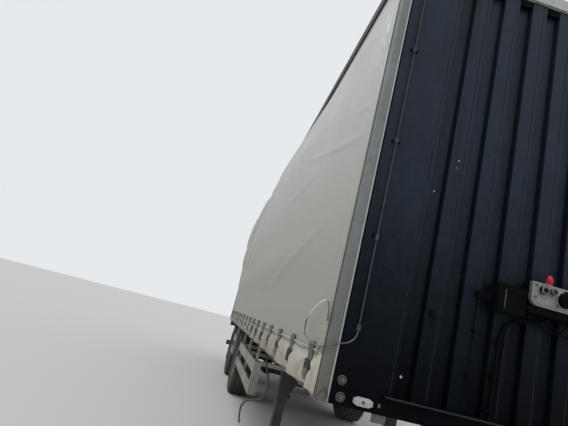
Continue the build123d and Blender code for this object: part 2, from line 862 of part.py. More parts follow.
def landing_leg_housing():
    """Outer tube of the left landing leg with its gear box and the gusset to the beam."""
    inner = beam_outer_y
    outer = inner + leg_housing_width
    half = leg_housing_width / 2
    tube = block((legs_behind - half, legs_behind + half), (inner, outer), (leg_housing_bottom, 1090.0))
    gear_box = block(
        (legs_behind - half - 25.0, legs_behind + half + 25.0), (inner, outer + 14.0), (820.0, 1040.0)
    )
    gear_box = fillet(gear_box.edges().filter_by(Axis.Y), 22.0)
    brace_y = inner - 30.0
    brace_end = legs_behind + 760.0
    brace = rod(
        (x_behind(legs_behind), brace_y, leg_housing_bottom + 70.0),
        (x_behind(brace_end), brace_y, beam_bottom_height - 30.0), 16.0,
    )
    brace += block(
        (legs_behind - 20.0, legs_behind + 20.0), (brace_y, inner + 1.0),
        (leg_housing_bottom + 50.0, leg_housing_bottom + 90.0),
    )
    brace += block(
        (brace_end - 40.0, brace_end + 20.0), (brace_y - 18.0, brace_y + 18.0),
        (beam_bottom_height - 50.0, beam_bottom_height - seat_gap),
    )
    gusset = along_x(polygon([
        (inner, beam_bottom_height), (inner, leg_housing_bottom + 60.0), (beam_inner_y, beam_bottom_height),
    ]), (legs_behind - 6.0, legs_behind + 6.0))
    return tube + gear_box + gusset + brace


def landing_leg_foot():
    """Inner tube of the left landing leg with its foot plate on the ground."""
    inner = beam_outer_y
    middle = inner + leg_housing_width / 2
    half = leg_housing_width / 2 - 10.0
    tube = block(
        (legs_behind - half, legs_behind + half), (middle - half, middle + half),
        (46.0, leg_housing_bottom),
    )
    plate = block((legs_behind - 150.0, legs_behind + 150.0), (middle - 110.0, middle + 110.0), (0, 14.0))
    cheeks = block((legs_behind - 60.0, legs_behind + 60.0), (middle - 45.0, middle + 45.0), (14.0, 46.0))
    return tube + plate + cheeks


def landing_leg_shaft():
    """Cross shaft that joins the gear boxes of the two legs below the beams."""
    x = x_behind(legs_behind + leg_housing_width / 4)
    z = 700.0
    return rod((x, -beam_outer_y, z), (x, beam_outer_y, z), 16.0)


def landing_leg_crank():
    """Winding crank folded down on the outside of the left leg."""
    x = x_behind(legs_behind)
    outer = beam_outer_y + leg_housing_width + 14.0
    arm_y = outer + 60.0
    top = 930.0
    low = 680.0
    crank = rod((x, outer, top), (x, arm_y + 11.0, top), 13.0)
    crank += rod((x, arm_y, top), (x, arm_y, low), 11.0)
    crank += rod((x, arm_y - 11.0, low), (x, arm_y + 130.0, low), 13.0)
    return crank


# Underrun beam, air tanks and front lamps
underrun_low = 430.0
underrun_high = 550.0
air_tank_ahead = 1550.0
air_tank_height = 950.0
air_tank_y = 380.0
marker_lamp_y = half_width - 262.0


def underrun_bar():
    """Rear underrun beam and its two brackets below the main beams."""
    front = body_length - 330.0
    bar = block((front, front + 100.0), (-half_width + 60.0, half_width - 60.0), (underrun_low, underrun_high))
    bar = fillet(bar.edges().filter_by(Axis.Y), 18.0)
    seat = underrun_high + seat_gap
    y = beam_spacing / 2
    bracket = along_y(polygon([
        (x_behind(front - 170.0), beam_bottom_height), (x_behind(rear_frame_front), beam_bottom_height),
        (x_behind(front + 80.0), seat), (x_behind(front + 10.0), seat),
    ]), (y - 8.0, y + 8.0))
    return [bar] + both_sides([bracket])


def tail_lamp():
    """Left rear lamp board under the sill with its lamp cluster."""
    board = block(
        (body_length - 34.0, body_length - 26.0), (720.0, half_width - 45.0), (950.0, coupling_height)
    )
    width = (half_width - 65.0 - 770.0 - 2 * 6.0) / 3
    for number in range(3):
        low_y = 770.0 + number * (width + 6.0)
        chamber = block((body_length - 30.0, body_length + 20.0), (low_y, low_y + width), (965.0, 1085.0))
        board += fillet(chamber.edges().filter_by(Axis.X), 16.0)
    return board


def air_tank(side_y):
    """Air tank along the chassis inside a beam, with its two bracket plates."""
    length = 640.0
    radius = 123.0
    front = first_axle_behind - air_tank_ahead
    z = air_tank_height
    x_front = x_behind(front)
    x_rear = x_behind(front + length)
    tank = rod((x_rear, side_y, z), (x_front, side_y, z), radius)
    tank = fillet(tank.edges().filter_by(GeomType.CIRCLE), 45.0)
    web_face = beam_spacing / 2 - beam_web_thickness / 2
    for behind in (front + 130.0, front + length - 130.0):
        tank += block((behind - 5.0, behind + 5.0), (side_y, web_face), (z - 45.0, z + 45.0))
        tank += rod((x_behind(behind + 15.0), side_y, z), (x_behind(behind - 15.0), side_y, z), radius + 4.0)
    return tank


# Service panel on the bulkhead: outline, depth, and the places of what it carries
panel_span = (-215.0, 385.0)
panel_low = 1856.0
panel_high = 1990.0
panel_depth = 100.0
panel_wall = 8.0
panel_corner = 44.0
air_coupling_places = (-88.0, 258.0)
socket_places = ((-158.0, 1948.0, 24.0, 34.0), (-100.0, 1952.0, 20.0, 26.0), (-20.0, 1922.0, 43.0, 50.0),
                 (95.0, 1922.0, 43.0, 50.0), (195.0, 1945.0, 20.0, 26.0), (255.0, 1945.0, 24.0, 34.0),
                 (325.0, 1922.0, 36.0, 44.0))


def panel_outline(inset):
    """Outline of the service panel in (y, z) with rounded lower corners."""
    low_y, high_y = panel_span[0] + inset, panel_span[1] - inset
    low_z, high_z = panel_low + inset, panel_high - inset
    corner = panel_corner - inset
    slant = corner * 0.3
    return polygon([
        (low_y, high_z), (low_y, low_z + corner), (low_y + slant, low_z + slant), (low_y + corner, low_z),
        (high_y - corner, low_z), (high_y - slant, low_z + slant), (high_y, low_z + corner), (high_y, high_z),
    ])


def connector_panel():
    """Cast housing on the bulkhead, open behind, that carries the couplings and sockets."""
    shell = along_x(panel_outline(0), (-panel_depth, 0))
    return shell - along_x(panel_outline(panel_wall), (-panel_depth + panel_wall, 1.0))


def service_sockets():
    """Round sockets and capped fittings on the face of the panel."""
    sockets = []
    for y, z, radius, reach in socket_places:
        face = front_face_x + panel_depth + seat_gap
        collar = rod((face, y, z), (face + 8.0, y, z), radius)
        sockets.append(collar + rod((face + 8.0, y, z), (face + reach - seat_gap, y, z), radius * 0.86))
    return sockets


def connector_bracket():
    """Black folded bracket beside the service panel and the small cable bracket further out."""
    outline = polygon([(-372.0, 1790.0), (-350.0, 1776.0), (-216.0, 1784.0), (-216.0, 1938.0), (-372.0, 1934.0)])
    return [
        along_x(outline, (-62.0, 0)),
        block((-26.0, 0), (-488.0, -402.0), (1828.0, 1866.0)),
    ]


def air_coupling(y):
    """Upright air coupling head on top of the service panel."""
    x = front_face_x + 62.0
    base = panel_high + seat_gap
    body = rod((x, y, base), (x, y, base + 40.0), 18.0)
    return body + rod((x, y, base + 40.0), (x + 4.0, y + 3.0, base + 60.0), 12.5)


def marker_lamp(y):
    """Front marker lamp on the sill, a long plate with clipped corners."""
    z = 1141.0
    half_length, half_height, clip = 57.0, 26.0, 13.0
    outline = polygon([
        (y - half_length, z - half_height + clip), (y - half_length + 2 * clip, z - half_height),
        (y + half_length - 2 * clip, z - half_height), (y + half_length, z - half_height + clip),
        (y + half_length, z + half_height - clip), (y + half_length - 2 * clip, z + half_height),
        (y - half_length + 2 * clip, z + half_height), (y - half_length, z + half_height - clip),
    ])
    return along_x(outline, (-18.0, 0))


# Seal cable up each side of the bulkhead, held by clips at these heights
seal_cable_y = 1120.0
seal_cable_radius = 4.0
seal_cable_standoff = 12.0
seal_clip_lowest = 1500.0
seal_clip_half_height = 16.0
seal_clip_shares = (0, 0.209, 0.458, 0.72, 0.95)
seal_clip_heights = [
    seal_clip_lowest + share * (rail_underside - seal_clip_lowest) for share in seal_clip_shares
]


def seal_cable():
    """Steel cable up the left edge of the bulkhead with its clips."""
    x = front_face_x + seal_cable_standoff
    low = seal_clip_lowest - seal_clip_half_height
    cable = rod((x, seal_cable_y, low), (x, seal_cable_y, rail_underside), seal_cable_radius)
    for height in seal_clip_heights:
        cable += block(
            (-seal_cable_standoff - 7.0, 0), (seal_cable_y - 9.0, seal_cable_y + 9.0),
            (height - seal_clip_half_height, height + seal_clip_half_height),
        )
    return cable


def cord_tube(points, radius):
    """Tube along straight runs joined by arcs as large as the runs allow."""
    vectors = [Vector(*point) for point in points]
    radii = []
    for before, here, after in zip(vectors, vectors[1:], vectors[2:]):
        turn = radians((here - before).get_angle(after - here))
        shorter = min((here - before).length, (after - here).length)
        radii.append(0.45 * shorter / tan(turn / 2))
    path = FilletPolyline(*points, radius=radii)
    section = Plane(origin=path @ 0, z_dir=path % 0) * Circle(radius)
    return sweep(section, path=path)


# Free end of the seal cable: distance behind the bulkhead, Y and height of each point, by hand
seal_loop_route = (
    (-12, -1120, 1484), (-12, -1120, 1448), (-14, -1160, 1410), (-14, -1203, 1397),
    (-14, -1243, 1382), (-3, -1279, 1366), (25, -1293, 1356), (70, -1296, 1352),
    (147, -1297, 1359), (235, -1295, 1362), (320, -1293, 1368), (400, -1292, 1380),
    (459, -1292, 1392), (486, -1293, 1419), (489, -1294, 1457), (469, -1295, 1489),
    (417, -1296, 1519), (330, -1297, 1553), (250, -1298, 1580), (170, -1298, 1599),
    (95, -1297, 1602), (38, -1296, 1590), (8, -1295, 1562), (-2, -1294, 1525),
)

# Hose that hangs below the right rave, in the same columns
hose_radius = 10.0
hose_route = (
    (2286, -1212, 1071), (2286, -1212, 1008), (2241, -1185, 928), (2198, -1159, 855),
    (2176, -1145, 790), (2181, -1148, 722), (2212, -1167, 668), (2268, -1201, 636),
    (2340, -1245, 612), (2412, -1288, 583), (2463, -1318, 531), (2477, -1327, 462),
    (2455, -1314, 395),
)


def placed_route(route):
    """Route points with their distances behind the bulkhead turned into X."""
    return [(x_behind(behind), y, z) for behind, y, z in route]


def end_fitting(route, radius, length):
    """Round fitting that goes on in line from a cord's last run."""
    before, last = [Vector(*point) for point in placed_route(route)[-2:]]
    direction = (last - before).normalized()
    return rod(last, last + direction * length, radius)


def hose_gland():
    """Threaded gland under the rave that the hose leaves from."""
    behind, y, z = hose_route[0]
    x = x_behind(behind)
    return rod((x, y, z), (x, y, coupling_height), 17.0)


# Harness from under the service panel to the sill, in columns of distance behind, Y and height
conduit_route = (
    (-50, -60, 1855.7), (-50, -60, 1800), (-42, -120, 1772), (-28, -230, 1760), (-18, -300, 1712),
    (-16, -320, 1600), (-16, -322, 1202),
)


def cable_conduit():
    """Black harness from the service panel and a thin cable from the small bracket, down to the sill."""
    top = coupling_height + sill_height
    x = front_face_x + 8.0
    return [
        cord_tube(placed_route(conduit_route), 9.0),
        rod((x, -474.0, top), (x, -474.0, 1828.0), 4.0),
    ]


def build():
    """Make every node."""
    keep("main_beams", both_sides([main_beam()]))
    keep("cross_members", cross_members())
    keep("side_raves", both_sides([side_rave()]))
    keep("floor_deck", [floor_deck()])
    keep("coupler_plate", [coupler_plate()])
    keep("king_pin", [king_pin()])
    keep("bulkhead_panel", [bulkhead_panel()])
    keep("front_corner_posts", both_sides([front_corner_post()]))
    keep("front_sill", [front_sill()])
    keep("front_header", [front_header()])
    keep("roof_rails", both_sides([roof_rail()]))
    keep("roof_sheet", [roof_sheet()])
    keep("roof_bows", roof_bows())
    left_curtain = curtain()
    keep("curtain_left", [left_curtain])
    keep("curtain_right", [mirrored(left_curtain)])
    left_straps = straps()
    keep("curtain_straps_left", left_straps)
    keep("curtain_straps_right", [mirrored(strap) for strap in left_straps])
    keep("side_posts", both_sides(side_posts()))
    keep("curtain_poles", both_sides(curtain_poles()))
    keep("rear_frame", rear_frame())
    left_leaf = door_leaf()
    keep("rear_door_left", [left_leaf])
    keep("rear_door_right", [mirrored(left_leaf)])
    left_locks = lock_gear()
    keep("lock_gear_left", left_locks)
    keep("lock_gear_right", [mirrored(piece) for piece in left_locks])
    for number in range(axle_count):
        for side_name, outward in (("left", 1), ("right", -1)):
            centre = (axle_x(number), outward * wheel_centre_y, wheel_centre_z)
            keep(f"tyre_{side_name}_{number + 1}", [tyre(centre, outward)])
            keep(f"wheel_{side_name}_{number + 1}", [rim(centre, outward)])
    every_axle = range(axle_count)
    keep("axles", [axle(number) for number in every_axle])
    keep("suspension_arms", both_sides([suspension_arm(number) for number in every_axle]))
    keep("suspension_hangers", both_sides([suspension_hanger(number) for number in every_axle]))
    keep("air_springs", both_sides([air_spring(number) for number in every_axle]))
    keep("brake_chambers", both_sides([brake_chamber(number) for number in every_axle]))
    keep("mudguards", both_sides([mudguard(number) for number in every_axle]))
    keep("mud_flaps", both_sides([mud_flap()]))
    keep("side_guards", both_sides([piece for span in guard_spans for piece in side_guard(span)]))
    keep("landing_leg_housings", both_sides([landing_leg_housing()]))
    keep("landing_leg_feet", both_sides([landing_leg_foot()]))
    keep("landing_leg_shaft", [landing_leg_shaft(), landing_leg_crank()])
    keep("underrun_bar", underrun_bar())
    keep("tail_lamps", both_sides([tail_lamp()]))
    keep("air_tanks", both_sides([air_tank(air_tank_y)]))
    keep("connector_panel", [connector_panel()])
    keep("service_sockets", service_sockets())
    keep("connector_bracket", connector_bracket())
    keep("air_couplings", [air_coupling(y) for y in air_coupling_places])
    keep("marker_lamps", both_sides([marker_lamp(marker_lamp_y)]))
    keep("seal_cables", both_sides([seal_cable()]))
    keep("seal_cable_loop", [cord_tube(placed_route(seal_loop_route), seal_cable_radius)])
    keep("seal_cable_end", [end_fitting(seal_loop_route, 6.5, 32.0)])
    keep("hanging_hose", [cord_tube(placed_route(hose_route), hose_radius)])
    keep("hose_end", [end_fitting(hose_route, 12.0, 45.0)])
    keep("hose_gland", [hose_gland()])
    keep("cable_conduit", cable_conduit())


build()
os.makedirs("parts", exist_ok=True)
for node_name, node_shape in nodes.items():
    export_step(node_shape, f"parts/{node_name}.step")
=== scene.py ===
import json
import math
import random

import bmesh
import bpy
from mathutils import Matrix, Vector, noise


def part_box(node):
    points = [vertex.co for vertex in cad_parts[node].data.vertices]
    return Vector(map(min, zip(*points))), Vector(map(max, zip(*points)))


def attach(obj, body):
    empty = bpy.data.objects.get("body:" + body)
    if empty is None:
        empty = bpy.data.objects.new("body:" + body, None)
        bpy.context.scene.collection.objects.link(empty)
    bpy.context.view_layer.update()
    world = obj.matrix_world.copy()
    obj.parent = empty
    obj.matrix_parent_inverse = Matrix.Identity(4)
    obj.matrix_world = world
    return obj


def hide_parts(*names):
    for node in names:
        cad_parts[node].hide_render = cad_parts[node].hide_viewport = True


bl_info = {
    "name": "Curtain-Sided Trailer",
    "version": (1, 0, 0),
    "blender": (4, 5, 0),
    "location": "3D View > Sidebar > Trailer",
    "description": "Finishes and fittings for a curtain-sided semi trailer",
    "category": "Object",
}

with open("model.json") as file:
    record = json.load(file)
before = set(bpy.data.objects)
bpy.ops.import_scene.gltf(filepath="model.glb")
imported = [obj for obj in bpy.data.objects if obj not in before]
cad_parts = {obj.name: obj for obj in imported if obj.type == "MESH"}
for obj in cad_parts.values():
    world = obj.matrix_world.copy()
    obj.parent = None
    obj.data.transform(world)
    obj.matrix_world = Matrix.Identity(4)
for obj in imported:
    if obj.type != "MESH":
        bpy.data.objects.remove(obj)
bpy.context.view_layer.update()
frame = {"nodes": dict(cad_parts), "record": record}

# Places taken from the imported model, in metres
front_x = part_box("bulkhead_panel")[1].x
axle_xs = [(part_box(f"tyre_left_{n}")[0].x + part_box(f"tyre_left_{n}")[1].x) / 2 for n in (1, 2)]
tyre_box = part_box("tyre_left_1")
tyre_radius = tyre_box[1].z / 2
wheel_y = (tyre_box[0].y + tyre_box[1].y) / 2

sides = (("left", 1), ("right", -1))
ahead = Vector((1.0, 0.0, 0.0))
strap_count = 18
strap_start = 0.28
strap_pitch = 0.6
rear_post_behind = 10.598


# Mesh kit


def at(behind, y, z):
    """Place that far behind the bulkhead's outer face, or ahead of it where negative."""
    return Vector((front_x - behind, y, z))


def about(centre, half):
    """Both edges of something centred on a value."""
    return centre - half, centre + half


def ray(angle):
    """Direction in the plane of the wheels."""
    return Vector((math.cos(angle), 0.0, math.sin(angle)))


def turns(count, start=0.0):
    """Angles of an even ring of places."""
    return [math.tau * (number + start) / count for number in range(count)]


def new_meshes(count):
    """Empty meshes to build on."""
    return [bmesh.new() for number in range(count)]


def round_edges(bm, edges, bevel, segments=2):
    """Bevel some edges where a bevel is given."""
    if bevel:
        bmesh.ops.bevel(
            bm, geom=list(edges), offset=bevel, segments=segments, profile=0.5, affect="EDGES", material=-1
        )


def add_box(bm, behind, across, heights, bevel=0.0, segments=2):
    """Box between two distances behind the bulkhead, two places across and two heights."""
    low = at(max(behind), min(across), min(heights))
    high = at(min(behind), max(across), max(heights))
    place = Matrix.Translation((low + high) / 2) @ Matrix.Diagonal((*(high - low), 1.0))
    made = bmesh.ops.create_cube(bm, size=1.0, matrix=place)
    round_edges(bm, {edge for vert in made["verts"] for edge in vert.link_edges}, bevel, segments)


def add_rod(bm, start, end, radius, end_radius=None, segments=24, bevel=0.0):
    """Round bar or cone between two points, its rims rounded by bevel."""
    axis = end - start
    place = Matrix.Translation((start + end) / 2) @ axis.to_track_quat("Z", "Y").to_matrix().to_4x4()
    made = bmesh.ops.create_cone(
        bm, cap_ends=True, cap_tris=False, segments=segments, radius1=radius,
        radius2=radius if end_radius is None else end_radius, depth=axis.length, matrix=place,
    )
    faces = {face for vert in made["verts"] for face in vert.link_faces}
    caps = [face for face in faces if len(face.verts) == segments]
    round_edges(bm, {edge for face in caps for edge in face.edges}, bevel)


def add_courses(bm, foot, outward, *courses):
    """Round courses on one axis: each has its start and end above the foot and the rest of a rod."""
    for start, end, *form in courses:
        add_rod(bm, foot + outward * start, foot + outward * end, *form)


def add_bolt(bm, place, outward, across, washer=True):
    """Hexagon head on a washer."""
    lift = across * 0.12
    if washer:
        add_courses(bm, place, outward, (0.0, lift, across * 0.72, None, 20))
    add_courses(bm, place, outward, (0.0, lift + across * 0.5, across * 0.56, None, 6, across * 0.06))


def add_rivet(bm, place, radius):
    """Low domed rivet head that faces ahead."""
    add_courses(bm, place, ahead, (0.0, radius * 0.45, radius, radius * 0.55, 8))


def add_spun(bm, centre, axis, profile, steps):
    """Closed ring spun from pairs of a radius and a lift along the axis."""
    axis = Vector(axis)
    side = Vector((1.0, 0.0, 0.0)) if axis.z else Vector((0.0, 0.0, 1.0))
    verts = [bm.verts.new(centre + axis * lift + side * radius) for radius, lift in profile]
    edges = [bm.edges.new(pair) for pair in zip(verts, verts[1:])]
    bmesh.ops.spin(
        bm, geom=verts + edges, cent=centre, axis=axis, angle=math.tau, steps=steps, use_merge=True,
        use_duplicate=False,
    )
    bmesh.ops.remove_doubles(bm, verts=bm.verts, dist=0.00001)


def add_plate(bm, outline, behind, reach, bevel=0.0):
    """Flat plate with its outline in Y and Z, standing out by reach along X, its far rim rounded."""
    base = bm.faces.new([bm.verts.new(at(behind, y, z)) for y, z in outline])
    made = bmesh.ops.extrude_face_region(bm, geom=[base])["geom"]
    verts = [item for item in made if isinstance(item, bmesh.types.BMVert)]
    bmesh.ops.translate(bm, verts=verts, vec=ahead * reach)
    faces = [item for item in made if isinstance(item, bmesh.types.BMFace)]
    round_edges(bm, {edge for face in faces for edge in face.edges}, bevel)


def add_ribbon(bm, points, half, thickness):
    """Closed strip through the points, its width along X."""
    wide = ahead * half
    rings = []
    for number, point in enumerate(points):
        run = points[min(number + 1, len(points) - 1)] - points[max(number - 1, 0)]
        deep = ahead.cross(run.normalized()) * thickness / 2
        corners = (wide + deep, deep - wide, -wide - deep, wide - deep)
        rings.append([bm.verts.new(point + corner) for corner in corners])
    for first, second in zip(rings, rings[1:]):
        for number in range(4):
            after = (number + 1) % 4
            bm.faces.new((first[number], first[after], second[after], second[number]))
    bm.faces.new(rings[0])
    bm.faces.new(rings[-1])


def place_piece(name, data, material, body, stands_for):
    """Object in the scene with its finish, riding on its body."""
    data.materials.append(bpy.data.materials[material])
    piece = bpy.data.objects.new(name, data)
    bpy.context.scene.collection.objects.link(piece)
    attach(piece, body)
    if stands_for:
        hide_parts(*stands_for)
    return piece


def make_piece(name, bm, material, stands_for=(), body="chassis"):
    """Turn a bmesh into a finished piece."""
    bmesh.ops.recalc_face_normals(bm, faces=bm.faces)
    mesh = bpy.data.meshes.new(name)
    bm.to_mesh(mesh)
    bm.free()
    mesh.shade_smooth()
    mesh.set_sharp_from_angle(angle=math.radians(35))
    return place_piece(name, mesh, material, body, stands_for)


def smooth_curve(name, route, radius, material, stands_for=(), steps=12, ring_steps=4):
    """Curve object along a smooth spline whose control points are the route's, in columns of
    millimetres behind the bulkhead, Y and height. The steps are those between two control points,
    and the ring's those of a quarter of its round."""
    curve = bpy.data.curves.new(name, "CURVE")
    curve.dimensions = "3D"
    curve.bevel_depth = radius
    curve.bevel_resolution = ring_steps
    curve.use_fill_caps = True
    line = curve.splines.new("NURBS")
    line.points.add(len(route) - 1)
    for point, (behind, y, z) in zip(line.points, route):
        point.co = (*at(behind / 1000, y / 1000, z / 1000), 1.0)
    line.order_u = 3
    line.use_endpoint_u = True
    line.resolution_u = steps
    return place_piece(name, curve, material, "chassis", stands_for)


def thicken(cloth):
    """Give a sheet the thickness of coated cloth."""
    wall = cloth.modifiers.new("Cloth Thickness", "SOLIDIFY")
    wall.thickness = 0.0014
    wall.offset = 0.0


# Shading kit


class Nodes:
    """Short calls for the nodes of one tree."""

    def __init__(self, tree):
        self.tree = tree

    def put(self, node, values):
        """Give a node's inputs, as values or as links."""
        for name, value in values.items():
            if isinstance(value, bpy.types.NodeSocket):
                self.tree.links.new(value, node.inputs[name])
            else:
                node.inputs[name].default_value = value
        return node

    def add(self, kind, values, **settings):
        """Shader node with its settings and its inputs."""
        node = self.tree.nodes.new(f"ShaderNode{kind}")
        for name, value in settings.items():
            setattr(node, name, value)
        return self.put(node, values)

    def mix(self, factor, first, second):
        """Colour between two, by a mask."""
        return self.add("Mix", {0: factor, 6: first, 7: second}, data_type="RGBA").outputs[2]

    def calculate(self, operation, first, second=0.5, clamp=True):
        """Result of one Math node."""
        return self.add("Math", {0: first, 1: second}, operation=operation, use_clamp=clamp).outputs[0]

    def times(self, first, *others):
        """Product of masks."""
        for other in others:
            first = self.calculate("MULTIPLY", first, other)
        return first

    def plus(self, first, second, clamp=True):
        """Sum of two masks."""
        return self.calculate("ADD", first, second, clamp)

    def between(self, value, low, high, to_low=0.0, to_high=1.0):
        """Value eased from one range to another, clamped."""
        values = {"Value": value, "From Min": low, "From Max": high, "To Min": to_low, "To Max": to_high}
        return self.add("MapRange", values, interpolation_type="SMOOTHSTEP").outputs[0]

    def mapped(self, **values):
        """The position, turned or stretched."""
        return self.add("Mapping", {"Vector": self.position, **values}).outputs[0]

    def noise(self, scale, detail=3.0, stretch=None, roughness=0.55, position=None):
        """Noise on the position, stretched per axis where a stretch is given."""
        place = self.mapped(Scale=stretch) if stretch else position or self.position
        values = {"Vector": place, "Scale": scale, "Detail": detail, "Roughness": roughness}
        return self.add("TexNoise", values).outputs["Fac"]

    def wave(self, scale, direction, distortion=0.0):
        """Even bands across one axis."""
        values = {"Vector": self.position, "Scale": scale, "Distortion": distortion}
        return self.add("TexWave", values, bands_direction=direction).outputs["Fac"]

    def axes(self):
        """X, Y and Z of the position."""
        return self.add("SeparateXYZ", {0: self.position}).outputs


class Effect(Nodes):
    """Node group in the making, which takes a position and some values."""

    def __init__(self, name, results, **values):
        super().__init__(bpy.data.node_groups.new(name, "ShaderNodeTree"))
        new_socket = self.tree.interface.new_socket
        new_socket(name="Position", in_out="INPUT", socket_type="NodeSocketVector")
        for socket, value in values.items():
            new_socket(name=socket, in_out="INPUT", socket_type="NodeSocketFloat").default_value = value
        for socket in results:
            new_socket(name=socket, in_out="OUTPUT", socket_type="NodeSocketFloat")
        self.taken = self.tree.nodes.new("NodeGroupInput").outputs
        self.given = self.tree.nodes.new("NodeGroupOutput")
        self.position = self.taken["Position"]


class Finish(Nodes):
    """Material in the making, with its shader, its position on the object and its base colour."""

    def __init__(self, name):
        material = bpy.data.materials.new(name)
        material.use_nodes = True
        super().__init__(material.node_tree)
        self.shader = self.tree.nodes["Principled BSDF"]
        self.position = self.tree.nodes.new("ShaderNodeTexCoord").outputs["Object"]

    def effect(self, name, **values):
        """Outputs of a shared effect with its own values."""
        values = {"Position": self.position, **values}
        return self.add("Group", values, node_tree=bpy.data.node_groups[name]).outputs

    def cover(self, mask, colour, share=None):
        """Lay a colour over the base where the mask says, or a share of it."""
        self.base = self.mix(mask if share is None else self.times(mask, share), self.base, colour)

    def finish(self, values, *relief):
        """Give the shader its base colour, its other inputs and a relief by height, strength and depth."""
        values = {"Base Color": self.base, **values}
        if relief:
            bump = self.add("Bump", dict(zip(("Height", "Strength", "Distance"), relief)))
            values["Normal"] = bump.outputs[0]
        self.put(self.shader, values)


def make_effects():
    """Build the shared effects: road grime, rain streaks, scratches, chips and weave."""
    n = Effect("Road Grime", ("Grime", "Mottle"), Low=0.3, High=1.8, Patchiness=0.6)
    cloud = n.noise(2.3, 6.0)
    fine = n.noise(19.0, 5.0, roughness=0.7)
    fall = n.between(n.axes()[2], n.taken["Low"], n.taken["High"], 1.0, 0.0)
    patches = {"Value": n.taken["Patchiness"], "To Min": 1.0, "To Max": n.between(cloud, 0.32, 0.68)}
    patch = n.add("MapRange", patches).outputs[0]
    n.put(n.given, {
        "Grime": n.times(fall, patch, n.between(fine, 0.3, 0.7, 0.55, 1.0)),
        "Mottle": n.plus(n.times(cloud, 0.5), n.times(fine, 0.5)),
    })

    n = Effect("Rain Streaks", ("Streaks",), Width=14.0, Strength=0.5)
    lines = n.between(n.noise(n.taken["Width"], 4.0, stretch=(1.0, 1.0, 0.035)), 0.5, 0.72)
    broken = n.between(n.noise(1.7, 2.0), 0.35, 0.65)
    n.put(n.given, {"Streaks": n.times(lines, broken, n.taken["Strength"])})

    n = Effect("Scratches", ("Scratches",), Size=9.0, Amount=0.5)
    most = None
    for turn in (0.5, -0.9, 1.9):
        turned = n.mapped(Rotation=(turn, turn * 0.7, turn), Scale=(1.0, 14.0, 14.0))
        found = n.between(n.noise(n.taken["Size"], 2.0, position=turned), 0.68, 0.7)
        most = n.calculate("MAXIMUM", most, found) if most else found
    kept = n.between(n.noise(1.3, 2.0), 0.5, 0.62)
    n.put(n.given, {"Scratches": n.times(most, kept, n.taken["Amount"])})

    n = Effect("Stone Chips", ("Chips",), Size=26.0, Amount=0.5)
    values = {"Vector": n.position, "Scale": n.taken["Size"], "Randomness": 1.0}
    spots = n.add("TexVoronoi", values).outputs
    reach = n.times(n.noise(240.0, 2.0), n.times(n.taken["Amount"], 0.22))
    chosen = n.add("SeparateColor", {0: spots["Color"]}).outputs[0]
    chip = n.calculate("LESS_THAN", spots["Distance"], reach)
    n.put(n.given, {"Chips": n.times(chip, n.calculate("GREATER_THAN", chosen, 0.72))})

    n = Effect("Cloth Weave", ("Height",), Threads=900.0)
    threads = [n.wave(n.taken["Threads"], direction, 0.4) for direction in "XZ"]
    n.put(n.given, {"Height": n.times(*threads)})


def shade(colour, factor):
    """Colour made lighter or darker."""
    return (*[min(1.0, part * factor) for part in colour[:3]], 1.0)


def painted_metal(
    name, colour, rough=0.45, grime=(0.10, 0.085, 0.07, 1.0), low=0.2, high=1.6, patchiness=0.7,
    streaks=0.3, streak_colour=None, scratches=0.2, scratch_colour=(0.45, 0.45, 0.44, 1.0), chips=0.2,
    chip_colour=(0.5, 0.5, 0.49, 1.0), chip_size=26.0, metallic=0.0, orange_peel=0.04, gloss=0.5, foot_brightness=1.0,
    streak_width=14.0, groove_shade_colour=None,
):
    """Paint with mottle, rain streaks, road grime, scratches and stone chips, with painted shade on groove walls
    and towards the foot where asked for.
    """
    n = Finish(name)
    road = n.effect("Road Grime", Low=low, High=high, Patchiness=patchiness)
    n.base = n.mix(n.between(road["Mottle"], 0.35, 0.65), shade(colour, 0.86), shade(colour, 1.12))
    rain = n.effect("Rain Streaks", Width=streak_width, Strength=streaks)[0]
    n.cover(rain, streak_colour or shade(colour, 0.6))
    n.cover(road["Grime"], grime)
    n.cover(n.effect("Scratches", Amount=scratches)[0], scratch_colour)
    chipped = n.effect("Stone Chips", Size=chip_size, Amount=chips)[0]
    n.cover(chipped, chip_colour)
    place = n.axes()
    if groove_shade_colour:
        # Painted shade on the side walls of the grooves, between the face and the grooves' floors
        outer = n.between(place[0], front_x - 0.001, front_x - 0.007)
        inner = n.between(place[0], front_x - 0.0358, front_x - 0.031)
        n.cover(n.times(outer, inner), groove_shade_colour, 0.85)
    # Painted shade: the base colour darkens towards the foot of the piece and the gloss drops with it, where one
    # is asked for
    wavy = n.plus(place[2], n.times(road["Mottle"], 1.2), clamp=False)
    unshaded_share = n.between(wavy, 1.5, 3.6, foot_brightness, 1.0)
    n.base = n.mix(unshaded_share, (0.0, 0.0, 0.0, 1.0), n.base)
    height = n.calculate("SUBTRACT", n.noise(90.0), n.times(chipped, 0.8), clamp=False)
    n.finish({
        "Roughness": n.plus(n.times(road["Grime"], 0.35), rough), "Metallic": metallic,
        "Specular IOR Level": n.times(unshaded_share, gloss),
    }, height, orange_peel * 4, 0.0015)


def bare_metal(name, colour, rough=0.35, grime_high=1.5, grain=(1.0, 1.0, 12.0), scratches=0.4, dull=0.6):
    """Bare or galvanised metal with grain, dull patches, scratches and grime."""
    n = Finish(name)
    road = n.effect("Road Grime", Low=0.3, High=grime_high, Patchiness=0.5)
    lines = n.noise(60.0, 4.0, stretch=grain)
    patches = n.between(road["Mottle"], 0.4, 0.62)
    n.base = n.mix(n.between(lines, 0.3, 0.7), shade(colour, 0.85), shade(colour, 1.1))
    n.cover(patches, shade(colour, 0.72), dull)
    n.cover(n.effect("Scratches", Size=14.0, Amount=scratches)[0], shade(colour, 0.5))
    n.cover(road["Grime"], (0.10, 0.085, 0.065, 1.0))
    metallic = n.calculate("SUBTRACT", 0.85, n.times(road["Grime"], 0.8))
    n.finish({"Roughness": n.plus(n.times(patches, 0.2), rough), "Metallic": metallic}, lines, 0.15, 0.0008)


